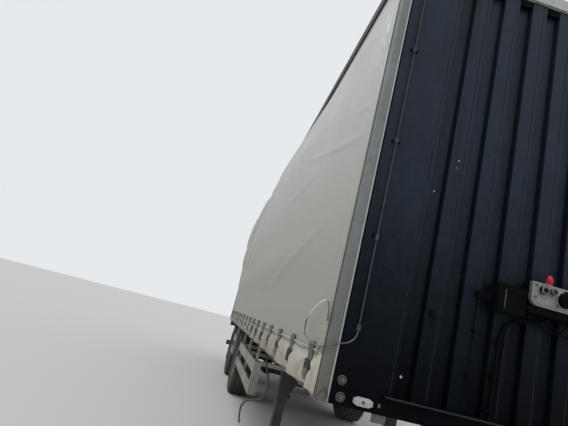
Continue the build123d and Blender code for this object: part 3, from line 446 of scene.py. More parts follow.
def coated_cloth(
    name, colour, low_colour, low, high, creases=0.5, streaks=0.2, rear_darkening=0.0, fade=0.3, reach=7.0,
):
    """Coated fabric with a fine weave, crease marks, scuffs, streaks and road grime, darker towards its foot and
    towards the rear.
    """
    n = Finish(name)
    road = n.effect("Road Grime", Low=low, High=high, Patchiness=0.35)
    n.base = n.mix(n.between(road["Mottle"], 0.36, 0.64), shade(colour, 0.93), shade(colour, 1.05))
    place = n.axes()
    # Darker towards the foot, down to the given share of the low colour
    n.cover(n.between(place[2], low, high, fade, 0.0), low_colour)
    n.cover(road["Grime"], low_colour, 0.6)
    # Darker towards the rear by the given share; on the hem this darkening is painted shade
    n.cover(n.between(place[0], front_x, front_x - reach, 0.0, rear_darkening), low_colour)
    n.cover(n.effect("Rain Streaks", Width=7.0, Strength=streaks)[0], shade(low_colour, 0.9))
    folds = n.noise(1.6, 4.0, position=n.mapped(Rotation=(0.0, 0.85, 0.0), Scale=(9.0, 1.0, 0.8)))
    apart = n.calculate("ABSOLUTE", n.calculate("SUBTRACT", folds, 0.5, clamp=False))
    crease = n.times(n.between(apart, 0.0, 0.02, 1.0, 0.0), n.between(road["Mottle"], 0.5, 0.6))
    n.cover(crease, shade(colour, 0.72), creases * 0.5)
    n.cover(n.effect("Scratches", Size=7.0, Amount=0.12)[0], shade(colour, 1.25))
    # Pale scuffs beside the front posts, high up
    scuff = n.between(n.noise(26.0, 5.0, stretch=(1.0, 1.0, 0.16), roughness=0.7), 0.55, 0.59)
    for axis, near, far, spread in ((0, front_x - 0.26, front_x - 0.12, 0.04), (2, 3.25, 3.62, 0.06)):
        scuff = n.times(scuff, n.between(place[axis], near - spread, near))
        scuff = n.times(scuff, n.between(place[axis], far, far + spread, 1.0, 0.0))
    n.cover(scuff, shade(colour, 1.5))
    weave = n.effect("Cloth Weave", Threads=1400.0)[0]
    n.finish({
        "Roughness": 0.5, "Sheen Weight": 0.08, "Sheen Roughness": 0.5, "Specular IOR Level": 0.35,
    }, n.plus(n.times(weave, 0.25), n.times(folds, 0.75)), 0.25, 0.002)


def webbing(name, colour):
    """Woven belt webbing with ribs across it, fuzz and dust."""
    n = Finish(name)
    weave = n.times(n.wave(160.0, "Z", 0.6), n.wave(110.0, "X", 0.3))
    road = n.effect("Road Grime", Low=1.0, High=1.5, Patchiness=0.4)
    n.base = n.mix(weave, shade(colour, 0.7), shade(colour, 1.3))
    n.cover(road["Grime"], (0.16, 0.145, 0.115, 1.0), 0.7)
    n.finish({"Roughness": 0.85, "Sheen Weight": 0.2}, weave, 0.6, 0.0012)


def moulded(name, colour, rough=0.4, grime_high=1.2, grime=0.6, coat=0.0, gloss=0.5):
    """Moulded plastic or rubber with a fine grain, scuffs and dust."""
    n = Finish(name)
    road = n.effect("Road Grime", Low=0.1, High=grime_high, Patchiness=0.6)
    n.base = n.mix(n.between(road["Mottle"], 0.35, 0.65), shade(colour, 0.8), shade(colour, 1.2))
    n.cover(road["Grime"], (0.15, 0.13, 0.105, 1.0), grime)
    n.cover(n.effect("Scratches", Size=22.0, Amount=0.35)[0], shade(colour, 1.9))
    n.finish({
        "Roughness": n.plus(n.times(road["Mottle"], 0.25), rough), "Coat Weight": coat,
        "Coat Roughness": 0.15, "Specular IOR Level": gloss,
    }, n.noise(320.0), 0.2, 0.0006)


def covered_cable(name, colour, pale):
    """Cover of the seal cable: dull, with a painted highlight where the loop stands highest and furthest back."""
    n = Finish(name)
    place = n.axes()
    n.base = n.mix(n.between(n.noise(30.0), 0.35, 0.65), shade(colour, 0.8), shade(colour, 1.2))
    # Painted highlight: pale where the loop stands highest and furthest back, in place of a reflection
    painted_glint = n.times(n.between(place[2], 1.47, 1.53), n.between(place[0], front_x - 0.05, front_x - 0.13))
    n.cover(painted_glint, pale)
    n.finish({"Roughness": 0.35, "Coat Weight": 0.25, "Coat Roughness": 0.15})


def tyre_rubber(name):
    """Dusty black tyre rubber, paler on the tread."""
    n = Finish(name)
    road = n.effect("Road Grime", Low=0.0, High=1.1, Patchiness=0.7)
    n.base = n.mix(
        n.between(road["Mottle"], 0.35, 0.65), (0.014, 0.014, 0.014, 1.0), (0.032, 0.030, 0.028, 1.0)
    )
    n.cover(road["Grime"], (0.13, 0.115, 0.095, 1.0), 0.8)
    n.finish({"Roughness": 0.82, "Specular IOR Level": 0.35}, n.noise(150.0, 4.0), 0.35, 0.0012)


def plywood(name):
    """Coated plywood floor with grain and wheel marks along it."""
    n = Finish(name)
    grain = n.noise(9.0, 5.0, stretch=(0.6, 14.0, 14.0))
    marks = n.noise(3.0, stretch=(0.15, 3.0, 1.0))
    values = {"Scale": 1.0, "Mortar Size": 0.0025, "Brick Width": 2.5, "Row Height": 1.25}
    sheets = n.add("TexBrick", {"Vector": n.position, **values}).outputs["Fac"]
    n.base = n.mix(n.between(grain, 0.3, 0.7), (0.20, 0.12, 0.065, 1.0), (0.34, 0.22, 0.125, 1.0))
    n.cover(n.between(marks, 0.5, 0.75, 0.0, 0.6), (0.09, 0.06, 0.045, 1.0))
    n.cover(sheets, (0.03, 0.025, 0.02, 1.0))
    n.finish({"Roughness": 0.55, "Coat Weight": 0.15, "Coat Roughness": 0.35}, grain, 0.2, 0.001)


def lamp_lens(name, colour):
    """Milky or clear lens with moulded ribs."""
    n = Finish(name)
    dust = n.noise(30.0, 4.0)
    n.base = n.mix(n.between(dust, 0.45, 0.7, 0.0, 0.5), colour, shade(colour, 0.55))
    rough = n.between(dust, 0.4, 0.7, 0.12, 0.35)
    n.finish({"Roughness": rough, "Coat Weight": 0.6, "Coat Roughness": 0.08}, n.wave(180.0, "Z"), 0.25, 0.001)


def make_materials():
    """Build every finish."""
    look = bpy.context.scene.trailer_colours
    painted_metal("Chassis Paint", look.chassis, rough=0.5, grime=(0.085, 0.072, 0.06, 1.0), low=0.0, high=1.7,
                  chips=0.5, chip_colour=(0.16, 0.09, 0.06, 1.0), streaks=0.4)
    painted_metal("Rave Paint", look.rave, rough=0.5, low=0.9, high=1.35, streaks=0.5)
    # Bulkhead: its near-black groove walls are painted shade, and so is its darkening towards the foot
    painted_metal("Bulkhead Paint", look.bulkhead, rough=0.46, grime=(0.010, 0.011, 0.012, 1.0), low=1.0,
                  high=2.4, streaks=0.6, streak_width=6.0, streak_colour=(0.004, 0.005, 0.007, 1.0),
                  scratches=0.22, scratch_colour=(0.12, 0.13, 0.14, 1.0), chips=0.16, chip_size=70.0,
                  gloss=0.17, chip_colour=(0.10, 0.10, 0.10, 1.0), foot_brightness=0.17,
                  groove_shade_colour=(0.002, 0.003, 0.006, 1.0))
    painted_metal("Groove Line Paint", shade(look.bulkhead, 0.5), rough=0.6, high=1.3, gloss=0.15)
    # Sill lip: dust and a painted highlight, lighter than the bulkhead's shaded foot
    painted_metal("Sill Dust", (0.015, 0.017, 0.018), rough=0.7, high=1.3, gloss=0.2)
    painted_metal("Post Paint", look.post, rough=0.42, grime=(0.12, 0.10, 0.075, 1.0), low=1.1, high=2.2,
                  streaks=0.4, scratches=0.55, scratch_colour=(0.16, 0.15, 0.14, 1.0), metallic=0.25)
    painted_metal("Header Paint", look.header, rough=0.4, low=0.5, high=3.0, streaks=0.35)
    painted_metal("Rear Frame Paint", look.rear_frame, low=0.8, high=2.2, streaks=0.4, chips=0.4)
    painted_metal("Door Panel Paint", look.door, rough=0.4, grime=(0.16, 0.14, 0.11, 1.0), low=0.9, high=2.8,
                  streaks=0.45, streak_colour=(0.2, 0.19, 0.17, 1.0))
    painted_metal("Wheel Paint", look.wheel, rough=0.5, grime=(0.13, 0.11, 0.09, 1.0), low=0.0, high=1.4,
                  chips=0.4, chip_colour=(0.17, 0.10, 0.07, 1.0))
    painted_metal("Bead Aluminium", (0.36, 0.375, 0.37), rough=0.4, high=1.5, streaks=0.2, chips=0.1)
    painted_metal("Bail Wire", (0.050, 0.036, 0.027), rough=0.6, streaks=0.1, chips=0.0)
    even = (4.0, 4.0, 4.0)
    bare_metal("Galvanised Steel", (0.42, 0.43, 0.43), rough=0.38)
    bare_metal("Guard Aluminium", look.guard, rough=0.42, grime_high=1.0, grain=(0.2, 10.0, 10.0), dull=0.8)
    bare_metal("Cast Aluminium", (0.29, 0.29, 0.28), rough=0.5, grain=(3.0, 3.0, 3.0))
    bare_metal("Zinc Bolts", (0.38, 0.37, 0.34), rough=0.4, grain=even)
    bare_metal("Dull Zinc", (0.17, 0.175, 0.17), rough=0.45, grime_high=2.2, grain=even)
    bare_metal("Worn Steel", (0.17, 0.16, 0.15), rough=0.5, grain=even, dull=0.9)
    bare_metal("King Pin Steel", (0.28, 0.27, 0.25), grain=(1.0, 1.0, 20.0))
    coated_cloth("Curtain Cloth", look.curtain, look.curtain_dirt, 0.9, 3.8, creases=0.2, streaks=0.05,
                 rear_darkening=0.5, fade=0.95)
    # The hem's darkening towards the rear is painted shade
    coated_cloth("Hem Cloth", look.hem, look.hem_dirt_and_shade, 1.08, 1.36, creases=0.9, rear_darkening=0.75, reach=2.6)
    coated_cloth("Welt Cloth", (0.44, 0.43, 0.38), look.hem_dirt_and_shade, 1.0, 1.4, streaks=0.1, rear_darkening=0.4)
    coated_cloth("Roof Cloth", look.roof, shade(look.roof, 0.6), 2.0, 4.6, creases=0.3)
    webbing("Strap Webbing", look.strap)
    moulded("Black Plastic", (0.0025, 0.0028, 0.0032), rough=0.6, grime=0.05, gloss=0.06)
    moulded("Mudguard Plastic", (0.03, 0.03, 0.03), rough=0.55, grime=0.9)
    moulded("Spring Rubber", (0.022, 0.022, 0.022), rough=0.65)
    moulded("Seal Rubber", (0.02, 0.02, 0.02), rough=0.6, grime=0.3)
    moulded("Coupling Red", look.coupling, rough=0.35, grime_high=1.0, coat=0.1)
    moulded("Coupling Yellow", (0.62, 0.40, 0.02), rough=0.25, grime_high=1.0, coat=0.4)
    moulded("Hose Rubber", look.hose, rough=0.55, grime=0.7)
    moulded("Hose End Teal", look.hose_end, rough=0.35, grime=0.4)
    moulded("Black Buckle", (0.022, 0.022, 0.022), grime_high=1.4, gloss=0.35)
    moulded("Dark Cable", (0.050, 0.060, 0.063), rough=0.5, grime=0.1, gloss=0.2)
    moulded("Plate White", (0.52, 0.52, 0.50), grime=0.3)
    # The pale colour last given is the seal cable's painted highlight
    covered_cable("Cable Cover", (0.075, 0.077, 0.072), (0.85, 0.85, 0.82, 1.0))
    tyre_rubber("Tyre Rubber")
    plywood("Floor Plywood")
    lamp_lens("White Lens", (0.38, 0.355, 0.365, 1.0))
    lamp_lens("Red Lens", (0.42, 0.012, 0.014, 1.0))
    lamp_lens("Amber Lens", (0.72, 0.22, 0.02, 1.0))


# Finishes that don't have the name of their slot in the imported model
slot_finishes = {
    "roof_tarpaulin": "Roof Cloth", "bright_steel": "Galvanised Steel", "door_panel": "Door Panel Paint",
    "wheel_steel": "Wheel Paint", "tail_lamp_red": "Red Lens", "lamp_white": "White Lens",
    "fitting_steel": "Worn Steel",
}


def colour(label, note, *value):
    """Colour setting."""
    return bpy.props.FloatVectorProperty(
        name=label, description=note, subtype="COLOR", size=4, min=0, max=1, default=(*value, 1.0)
    )


def length(label, note, value, low, high):
    """Length setting, in metres."""
    return bpy.props.FloatProperty(name=label, description=note, unit="LENGTH", default=value, min=low, max=high)


class TrailerColours(bpy.types.PropertyGroup):
    """Colours of the main finishes."""
    bulkhead: colour("Bulkhead", "Grooved front wall", 0.0140, 0.0225, 0.0370)
    post: colour("Corner Posts", "Front corner and sliding posts", 0.165, 0.179, 0.176)
    header: colour("Header", "Header rail and roof rails", 0.36, 0.365, 0.36)
    curtain: colour("Curtain", "Clean curtain cloth", 0.62, 0.62, 0.60)
    # Colour the curtain darkens to towards its foot and rear, also used for its road grime
    curtain_dirt: colour("Curtain Dirt", "Dirty lower edge of the curtain", 0.255, 0.255, 0.205)
    hem: colour("Hem", "Gathered hem below the curtain's cable", 0.54, 0.51, 0.43)
    # Colour of the hem's road dirt, also its painted shade towards the rear
    hem_dirt_and_shade: colour("Hem Dirt", "Road dirt in the hem's folds", 0.19, 0.17, 0.13)
    roof: colour("Roof Cloth", "Roof tarpaulin", 0.55, 0.55, 0.53)
    strap: colour("Straps", "Belt webbing", 0.108, 0.108, 0.092)
    chassis: colour("Chassis", "Beams, axles and legs", 0.029, 0.029, 0.030)
    rave: colour("Side Rave", "Side rave and front sill", 0.07, 0.072, 0.075)
    rear_frame: colour("Rear Frame", "Rear posts, sill and header", 0.24, 0.25, 0.25)
    door: colour("Rear Doors", "Door leaves", 0.52, 0.52, 0.50)
    wheel: colour("Wheels", "Wheel discs and rims", 0.26, 0.26, 0.25)
    guard: colour("Side Guards", "Aluminium guard planks", 0.33, 0.32, 0.295)
    coupling: colour("Coupling Head", "Supply air coupling", 0.40, 0.002, 0.028)
    hose: colour("Hose", "Hanging hose", 0.045, 0.032, 0.026)
    hose_end: colour("Hose End", "End piece of the hose", 0.02, 0.14, 0.13)


class TrailerSizes(bpy.types.PropertyGroup):
    """Sizes that shape the soft and small pieces."""
    curtain_bulge: length("Curtain Bulge", "How far the slack curtain stands out", 0.165, 0.0, 0.19)
    wrinkle_depth: bpy.props.FloatProperty(
        name="Wrinkle Depth", description="Share of the creases' full depth", default=1.0, min=0.0, max=1.5)
    hem_depth: length("Hem Depth", "How far the gathered hem stands out", 0.033, 0.0, 0.04)
    tread_depth: length("Tread Depth", "Depth of the tyres' ring grooves", 0.013, 0.002, 0.02)
    rivet_radius: length("Rivet Radius", "Radius of the posts' rivets", 0.0045, 0.002, 0.01)


class TRAILER_OT_finishes(bpy.types.Operator):
    """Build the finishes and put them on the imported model's pieces"""
    bl_idname = "trailer.finishes"
    bl_label = "Finishes"

    def execute(self, context):
        make_effects()
        make_materials()
        slots = {entry["node"]: entry["material_slot"] for entry in frame["record"]["subparts"]}
        for name, node in frame["nodes"].items():
            own = slots[name].replace("_", " ").title()
            finish = bpy.data.materials[slot_finishes.get(slots[name], own)]
            if not node.material_slots:
                node.data.materials.append(finish)
            for place in node.material_slots:
                place.material = finish
        return {"FINISHED"}


# Curtains

# Share of the bulge by height, near the front and towards the rear
taut_profile = ((0.0, 0.0), (0.1, 0.12), (0.3, 0.62), (0.55, 0.95), (0.72, 1.0), (0.88, 0.62), (1.0, 0.0))
slack_profile = ((0.0, 0.0), (0.1, 0.12), (0.3, 0.60), (0.55, 0.92), (0.76, 1.0), (0.90, 0.85), (1.0, 0.0))

crease_seed = 7
fine_creases = 30
# Heights of the cloth, of the line above which it bulges, of its hem and of the buckles that gather it
cloth_low_z, bulge_low_z, cloth_high_z = 1.322, 1.36, 3.899
hem_foot_z, hem_top_z, gather_z = 1.117, 1.324, 1.245
cloth_y, hem_y = 1.2565, 1.2573
# Creases that show in the picture: distance behind and height of both ends, width and depth
shown_creases = (
    (0.12, 2.66, 1.66, 2.98, 0.030, 0.012), (0.12, 2.86, 0.46, 2.95, 0.016, 0.007),
    (0.12, 3.49, 1.77, 3.95, 0.035, 0.008), (0.42, 2.23, 2.97, 1.74, 0.040, 0.008),
    (5.20, 3.88, 9.80, 2.40, 0.100, -0.075), (3.80, 3.88, 7.40, 3.20, 0.080, -0.040),
    (7.40, 3.88, 10.20, 2.70, 0.090, -0.070), (6.60, 3.70, 9.60, 2.00, 0.080, -0.050),
    (4.80, 2.90, 8.20, 2.20, 0.070, -0.014),
)


def eased(value, low, high):
    """Smooth step between two values."""
    share = min(1.0, max(0.0, (value - low) / (high - low)))
    return share * share * (3 - 2 * share)


def from_table(table, value):
    """Value between the table's pairs."""
    for (low, first), (high, second) in zip(table, table[1:]):
        if value <= high:
            return first + (second - first) * eased(value, low, high)
    return table[-1][1]


def noise_at(*place):
    """Smooth noise, from -1 to 1."""
    return noise.noise(Vector(place))


def draw_creases(sign):
    """Creases of one curtain: those in the picture and some finer ones at random."""
    draw = random.Random(crease_seed + sign).uniform
    creases = list(shown_creases)
    for number in range(fine_creases):
        start, height, reach, slope = draw(0.15, 9.0), draw(1.5, 3.6), draw(0.5, 2.2), draw(-0.25, 0.4)
        width, depth = draw(0.012, 0.035), draw(0.002, 0.006)
        creases.append((start, height, min(start + reach, 10.4), height + slope * reach, width, depth))
    return creases


def crease_height(creases, behind, height):
    """How far the cloth stands out at a point, from every crease near it."""
    total = 0.0
    for start, start_z, end, end_z, width, depth in creases:
        share = (behind - start) / (end - start)
        if 0.0 < share < 1.0:
            apart = (height - start_z - (end_z - start_z) * share) / width
            if abs(apart) < 3.0:
                total += depth * math.exp(-apart * apart) * math.sin(math.pi * share) ** 0.6
    return total


def hang_curtain(side, sign):
    """One side curtain: a grid that bulges and wrinkles, with its gathered hem below."""
    sizes = bpy.context.scene.trailer_sizes
    front, rear = 0.014, rear_post_behind
    bm, bm_hem = new_meshes(2)
    bmesh.ops.create_grid(bm, x_segments=260, y_segments=130, size=0.5)
    creases = draw_creases(sign)
    for vert in bm.verts:
        behind = front + (rear - front) * (vert.co.x + 0.5)
        height = cloth_low_z + (cloth_high_z - cloth_low_z) * (vert.co.y + 0.5)
        share = max(0.0, (height - bulge_low_z) / (cloth_high_z - bulge_low_z))
        along = eased(behind, 0.1, 2.8) * (1 - 0.7 * eased(behind, 9.4, rear - 0.3))
        along *= 1 - 0.97 * eased(behind, rear - 0.3, rear)
        slack = eased(behind, 2.2, 4.5)
        bulge = from_table(taut_profile, share) * (1 - slack) + from_table(slack_profile, share) * slack
        ends = eased(behind, 0.05, 0.3) * (1 - eased(behind, rear - 0.3, rear))
        bulge *= sizes.curtain_bulge * (0.12 * ends + 0.88 * along)
        free = eased(share, 0.02, 0.15) * (1 - eased(share, 0.9, 1.0))
        free *= eased(behind, 0.1, 0.24) * (1 - eased(behind, rear - 0.2, rear))
        billow = noise_at(behind * 0.4, height * 0.5, sign * 7.0) * (1 - eased(share, 0.55, 0.85))
        offset = bulge + free * (crease_height(creases, behind, height) * sizes.wrinkle_depth + billow * 0.012)
        offset = max(offset, 0.0205 * (1 - eased(behind, 0.094, 0.2)))
        vert.co = at(behind, sign * (cloth_y + offset), height)
    cloth = make_piece(f"curtain_cloth_{side}", bm, "Curtain Cloth", [f"curtain_{side}"])

    # Hem: folds run out from the point where each strap pulls it in
    bmesh.ops.create_grid(bm_hem, x_segments=1050, y_segments=18, size=0.5)
    for vert in bm_hem.verts:
        behind = front + (rear - front) * (vert.co.x + 0.5)
        drop = 0.5 - vert.co.y
        bay = (behind - strap_start) / strap_pitch
        beside = abs((bay - round(bay)) * strap_pitch)
        slack = abs(math.sin(math.pi * bay)) ** 0.55
        foot = hem_foot_z + 0.012 * noise_at(behind * 3.1, sign, 4.0) + 0.012 * (1 - slack)
        height = hem_top_z + (foot - hem_top_z) * drop
        angle = math.atan2(height - gather_z, beside + 0.03)
        swirl = noise_at(behind * 4.0, height * 5.0, sign * 2.0)
        fan = math.cos(8.0 * angle + 5.0 * swirl + 2.0 * round(bay)) * (1 - eased(beside, 0.12, 0.3))
        crest = noise_at(behind * 4.5 - height * 6.0, height * 2.5, sign * 6.0)
        pleat = max(0.0, 1 - abs(crest) * 2) ** 2
        swell = sizes.hem_depth * slack * (0.25 + 0.75 * eased(drop, 0.0, 0.4))
        offset = swell * (0.30 + 0.50 * fan + 0.70 * pleat + 0.70 * swirl) * eased(behind, 0.07, 0.16)
        offset = max(offset, 0.0197 * (1 - eased(behind, 0.094, 0.17)))
        vert.co = at(behind, sign * (hem_y + offset), height)
    hem = make_piece(f"curtain_hem_{side}", bm_hem, "Hem Cloth")

    welt_y, welt_z = sign * 1262.5, 1327
    welt_route = [
        (30 + 150 * step, welt_y + sign * 20 * (1 - eased(step, 0.3, 1.0)),
         welt_z + 4 * noise_at(step * 0.7, sign, 2.0))
        for step in range(70)
    ]
    smooth_curve(f"curtain_welt_{side}", welt_route + [(10596, welt_y, welt_z)], 0.0065, "Welt Cloth", steps=3)
    thicken(cloth)
    thicken(hem)


class TRAILER_OT_curtains(bpy.types.Operator):
    """Hang the two side curtains from the roof rails"""
    bl_idname = "trailer.curtains"
    bl_label = "Curtains"

    def execute(self, context):
        for side, sign in sides:
            hang_curtain(side, sign)
        return {"FINISHED"}


# Curtain straps, as places across and up

sewn_loop = (
    (1.2590, 1.190), (1.2595, 1.322), (1.2610, 1.358), (1.2650, 1.368), (1.2695, 1.364), (1.2710, 1.350),
    (1.2700, 1.322), (1.2650, 1.300), (1.2625, 1.262),
)
run_to_hook = ((1.2592, 1.184), (1.2592, 1.120))
loose_tail = (
    (1.2660, 1.226), (1.2745, 1.208), (1.2790, 1.180), (1.2765, 1.150), (1.2700, 1.122), (1.2690, 1.098),
)
buckle_lever = (
    (1.2635, 1.264), (1.2695, 1.258), (1.2732, 1.238), (1.2732, 1.208), (1.2700, 1.190), (1.2735, 1.177),
)


def add_strap(bm_web, bm_steel, number, sign):
    """One over-centre strap: sewn loop, webbing, cheeks, lever, pins, tail and hook."""
    behind = strap_start + strap_pitch * number
    centre = at(behind, sign * 1.262, 1.225)
    meshes = [(bm, set(bm.verts)) for bm in (bm_web, bm_steel)]

    def strip(bm, points, half, thickness):
        add_ribbon(bm, [at(behind, sign * y, z) for y, z in points], half, thickness)

    strip(bm_web, sewn_loop, 0.0245, 0.003)
    strip(bm_web, run_to_hook, 0.0235, 0.003)
    # Some tails are tucked away and the others end at one of two lengths
    if number % 3 != 1:
        strip(bm_web, loose_tail[:4 + number % 3], 0.0225, 0.0028)
    strip(bm_steel, buckle_lever, 0.0270, 0.0025)
    # Cheeks of the buckle, then the flat hook bent round the foot of the rave
    for offsets, across, heights, bevel in (
        ((-0.0305, -0.0275), (1.2585, 1.2725), (1.180, 1.264), 0.001),
        ((0.0275, 0.0305), (1.2585, 1.2725), (1.180, 1.264), 0.001),
        ((-0.020, 0.020), (1.2575, 1.2605), (1.098, 1.136), 0.0012),
        ((-0.020, 0.020), (1.2360, 1.2605), (1.094, 1.0985), 0.0015),
        ((-0.020, 0.020), (1.2345, 1.2375), (1.094, 1.112), 0.001),
    ):
        add_box(bm_steel, [behind + offset for offset in offsets], [sign * y for y in across], heights, bevel)
    for pin_y, pin_z in ((1.2650, 1.258), (1.2665, 1.222), (1.2635, 1.186)):
        add_courses(bm_steel, at(behind, sign * pin_y, pin_z), ahead, (-0.0325, 0.0325, 0.0038, None, 10))

    # Each strap leans and twists a little in its own way
    lean = 0.10 * noise_at(number * 1.7, sign * 3.0, 0.5)
    twist = -sign * (0.30 + 0.12 * noise_at(number * 2.9, sign * 5.0, 1.5))
    for bm, before in meshes:
        fresh = set(bm.verts) - before
        bmesh.ops.rotate(bm, verts=list(fresh), cent=centre, matrix=Matrix.Rotation(lean, 3, "Y"))
        for vert in fresh:
            turned = twist * eased(vert.co.z, 1.13, 1.19)
            beside = vert.co.x - centre.x
            vert.co.x = centre.x + beside * math.cos(turned)
            vert.co.y += beside * math.sin(turned) + sign * abs(math.sin(turned)) * 0.026


class TRAILER_OT_straps(bpy.types.Operator):
    """Buckle the row of straps along each curtain and run the hem's cable past their loops"""
    bl_idname = "trailer.straps"
    bl_label = "Curtain Straps"

    def execute(self, context):
        for side, sign in sides:
            bm_web, bm_steel = new_meshes(2)
            route = [(28, 1292, 1353), (60, 1289, 1336), (110, 1281, 1306), (160, 1276, 1305)]
            for number in range(strap_count):
                add_strap(bm_web, bm_steel, number, sign)
                middle = 1000 * (strap_start + strap_pitch * number)
                sag = 10 * noise_at(number * 2.3, sign, 8.0)
                route += [(middle - 60, 1272, 1315), (middle + 60, 1272, 1315), (middle + 300, 1275, 1304 + sag)]
            route[-1] = (10590, 1270, 1310)
            make_piece(f"strap_webbing_{side}", bm_web, "Strap Webbing",
                       [f"curtain_straps_{side}"])
            make_piece(f"strap_buckles_{side}", bm_steel, "Black Buckle")
            route = [(behind, sign * y, z) for behind, y, z in route]
            smooth_curve(f"hem_cable_{side}", route, 0.003, "Worn Steel", steps=4, ring_steps=2)
        return {"FINISHED"}


# Front wall and corner posts

# Bolt with a spun ring round it: radius and lift
bolt_ring = ((0.0190, 0.0), (0.0200, 0.005), (0.0225, 0.006), (0.0245, 0.004), (0.0245, 0.0))
lamp_y, lamp_z = 1.020, 1.143
plate_y = 0.9135
marker_y = 0.930
wall_cable_y = 1.120
groove_pitch = 0.203
lamp_screw_z = 1.145
# Wire bail bent from rod, in millimetres behind, across and up
bail_route = (
    (2, 1270, 1112), (-8, 1270, 1114), (-9, 1252, 1139), (-9, 1236, 1159), (-9, 1226, 1166), (-9, 1218, 1162),
    (-9, 1213, 1146), (-8, 1209, 1118), (2, 1208, 1114),
)


class TRAILER_OT_front(bpy.types.Operator):
    """Fit the bolts, rivets, beads, lamps, markers and small hardware of the front wall"""
    bl_idname = "trailer.front"
    bl_label = "Front Fittings"

    def execute(self, context):
        radius = context.scene.trailer_sizes.rivet_radius
        lip, beads, rivets, bolts, dishes, seam_and_shade_strips, dark_lines, plates = new_meshes(8)
        gaskets, lenses, screws, hardware, chips = new_meshes(5)
        for side, sign in sides:
            add_box(beads, (0.004, -0.0050), about(sign * 1.2045, 0.0045), (1.106, 3.986), 0.0020)
            # Black strip in the gap between each post and the wall: painted shade of the gap
            add_box(seam_and_shade_strips, (0.004, -0.0012), about(sign * 1.1950, 0.0050), (1.106, 3.986), 0.0005, 1)
            for number in range(10):
                add_rivet(rivets, at(0, sign * 1.219, 1.30 + 0.285 * number), radius)
            for y, z in ((1.148, 1.223), (1.140, 1.141)):
                place = at(0, sign * y, z)
                add_courses(dishes, place, ahead, (0, 0.003, 0.0215, None, 28), (0.015, 0.0158, 0.0098, None, 20))
                add_spun(bolts, place, ahead, bolt_ring, 32)
                add_courses(bolts, place, ahead, (0.003, 0.015, 0.0150, None, 6, 0.0015),
                            (0.015, 0.0195, 0.0068, None, 14, 0.001))
            # Plate that hangs from the sill, with its two rivets
            add_box(plates, (0.016, 0.011), about(sign * plate_y, 0.0405), (1.056, 1.104), 0.0015)
            for y in about(sign * plate_y, 0.026):
                add_rivet(plates, at(0.011, y, 1.082), 0.006)

            # Lamp on the sill: gasket, lens with clipped corners and screw, and a small marker beside it
            for bm, half, tall, clip, behind, reach, bevel in (
                (gaskets, 0.0560, 0.0255, 0.0125, 0.0, 0.004, 0.001),
                (lenses, 0.0530, 0.0225, 0.0110, -0.004, 0.015, 0.0035),
            ):
                outline = []
                for y_sign, z_sign in ((1, 1), (-1, 1), (-1, -1), (1, -1)):
                    slope = [(half, tall - clip), (half - 2 * clip, tall)][::y_sign * z_sign]
                    outline += [(sign * lamp_y + y_sign * y, lamp_z + z_sign * z) for y, z in slope]
                add_plate(bm, outline, behind, reach, bevel)
            place = at(-0.0178, sign * lamp_y, lamp_z)
            add_courses(screws, place, ahead, (0, 0.0022, 0.0095, None, 20, 0.0008),
                        (0.0022, 0.0042, 0.0055, None, 16, 0.0008))
            for y in about(sign * lamp_y, 0.043):
                add_courses(screws, at(-0.0172, y, lamp_screw_z), ahead, (0, 0.0020, 0.0030, None, 10))
            add_box(gaskets, (0, -0.004), about(sign * marker_y, 0.0135), (1.1315, 1.1565), 0.001)
            add_box(screws, (-0.003, -0.009), about(sign * marker_y, 0.0075), (1.1345, 1.1535), 0.002)

            # Clips of the cable on the wall
            for height in (3.228, 2.595, 2.009, 3.88):
                for y in about(sign * wall_cable_y, 0.019):
                    add_courses(hardware, at(0, y, height), ahead, (0, 0.006, 0.0085, None, 14, 0.001))
                add_box(hardware, (0, -0.003), about(sign * wall_cable_y, 0.026), about(height, 0.006), 0.0012)
            smooth_curve(f"post_bail_{side}", [(behind, sign * y, z) for behind, y, z in bail_route], 0.0028,
                         "Bail Wire")

        for number in range(16):
            add_rivet(rivets, at(-0.012, -1.125 + 0.15 * number, 3.945), radius)
        add_box(seam_and_shade_strips, (-0.010, -0.0135), (-1.19, 1.19), (3.9015, 3.9055), 0.001)
        for number in range(-4, 5):
            groove_y = groove_pitch * number
            # Thin dark line beside the mouth of each groove
            add_box(dark_lines, (0.001, -0.0010), (groove_y - 0.0735, groove_y - 0.0685), (1.215, 3.895), 0.0005, 1)
            # Black plug at the top of each groove: painted shadow under the header
            add_box(seam_and_shade_strips, (0.034, 0.002), about(groove_y, 0.0445), (3.848, 3.8995), 0.004)
        # Strip along the front edge of the sill's ledge: dust and a painted highlight where the ledge catches
        # light
        add_box(lip, (-0.020, -0.0285), (-0.915, 0.915), (1.189, 1.2000), 0.003)

        # Small black catch on the wall, and bright chips where paint is knocked off
        add_box(hardware, (0, -0.010), (-0.742, -0.722), (1.660, 1.694), 0.002)
        add_rod(hardware, at(-0.010, -0.732, 1.668), at(-0.024, -0.719, 1.650), 0.005, None, 12, 0.001)
        add_box(hardware, (-0.014, -0.026), (-0.728, -0.700), (1.643, 1.652), 0.002)
        add_box(hardware, (0, -0.003), (-0.716, -0.706), (1.601, 1.611), 0.001)
        for y, z, size in ((-0.833, 2.368, 0.006), (-0.711, 2.600, 0.006), (-0.716, 2.552, 0.004),
                           (-0.837, 1.309, 0.008), (0.31, 1.44, 0.005), (0.82, 2.71, 0.006)):
            add_courses(chips, at(0, y, z), ahead, (0, 0.0012, size, size * 0.6, 7))

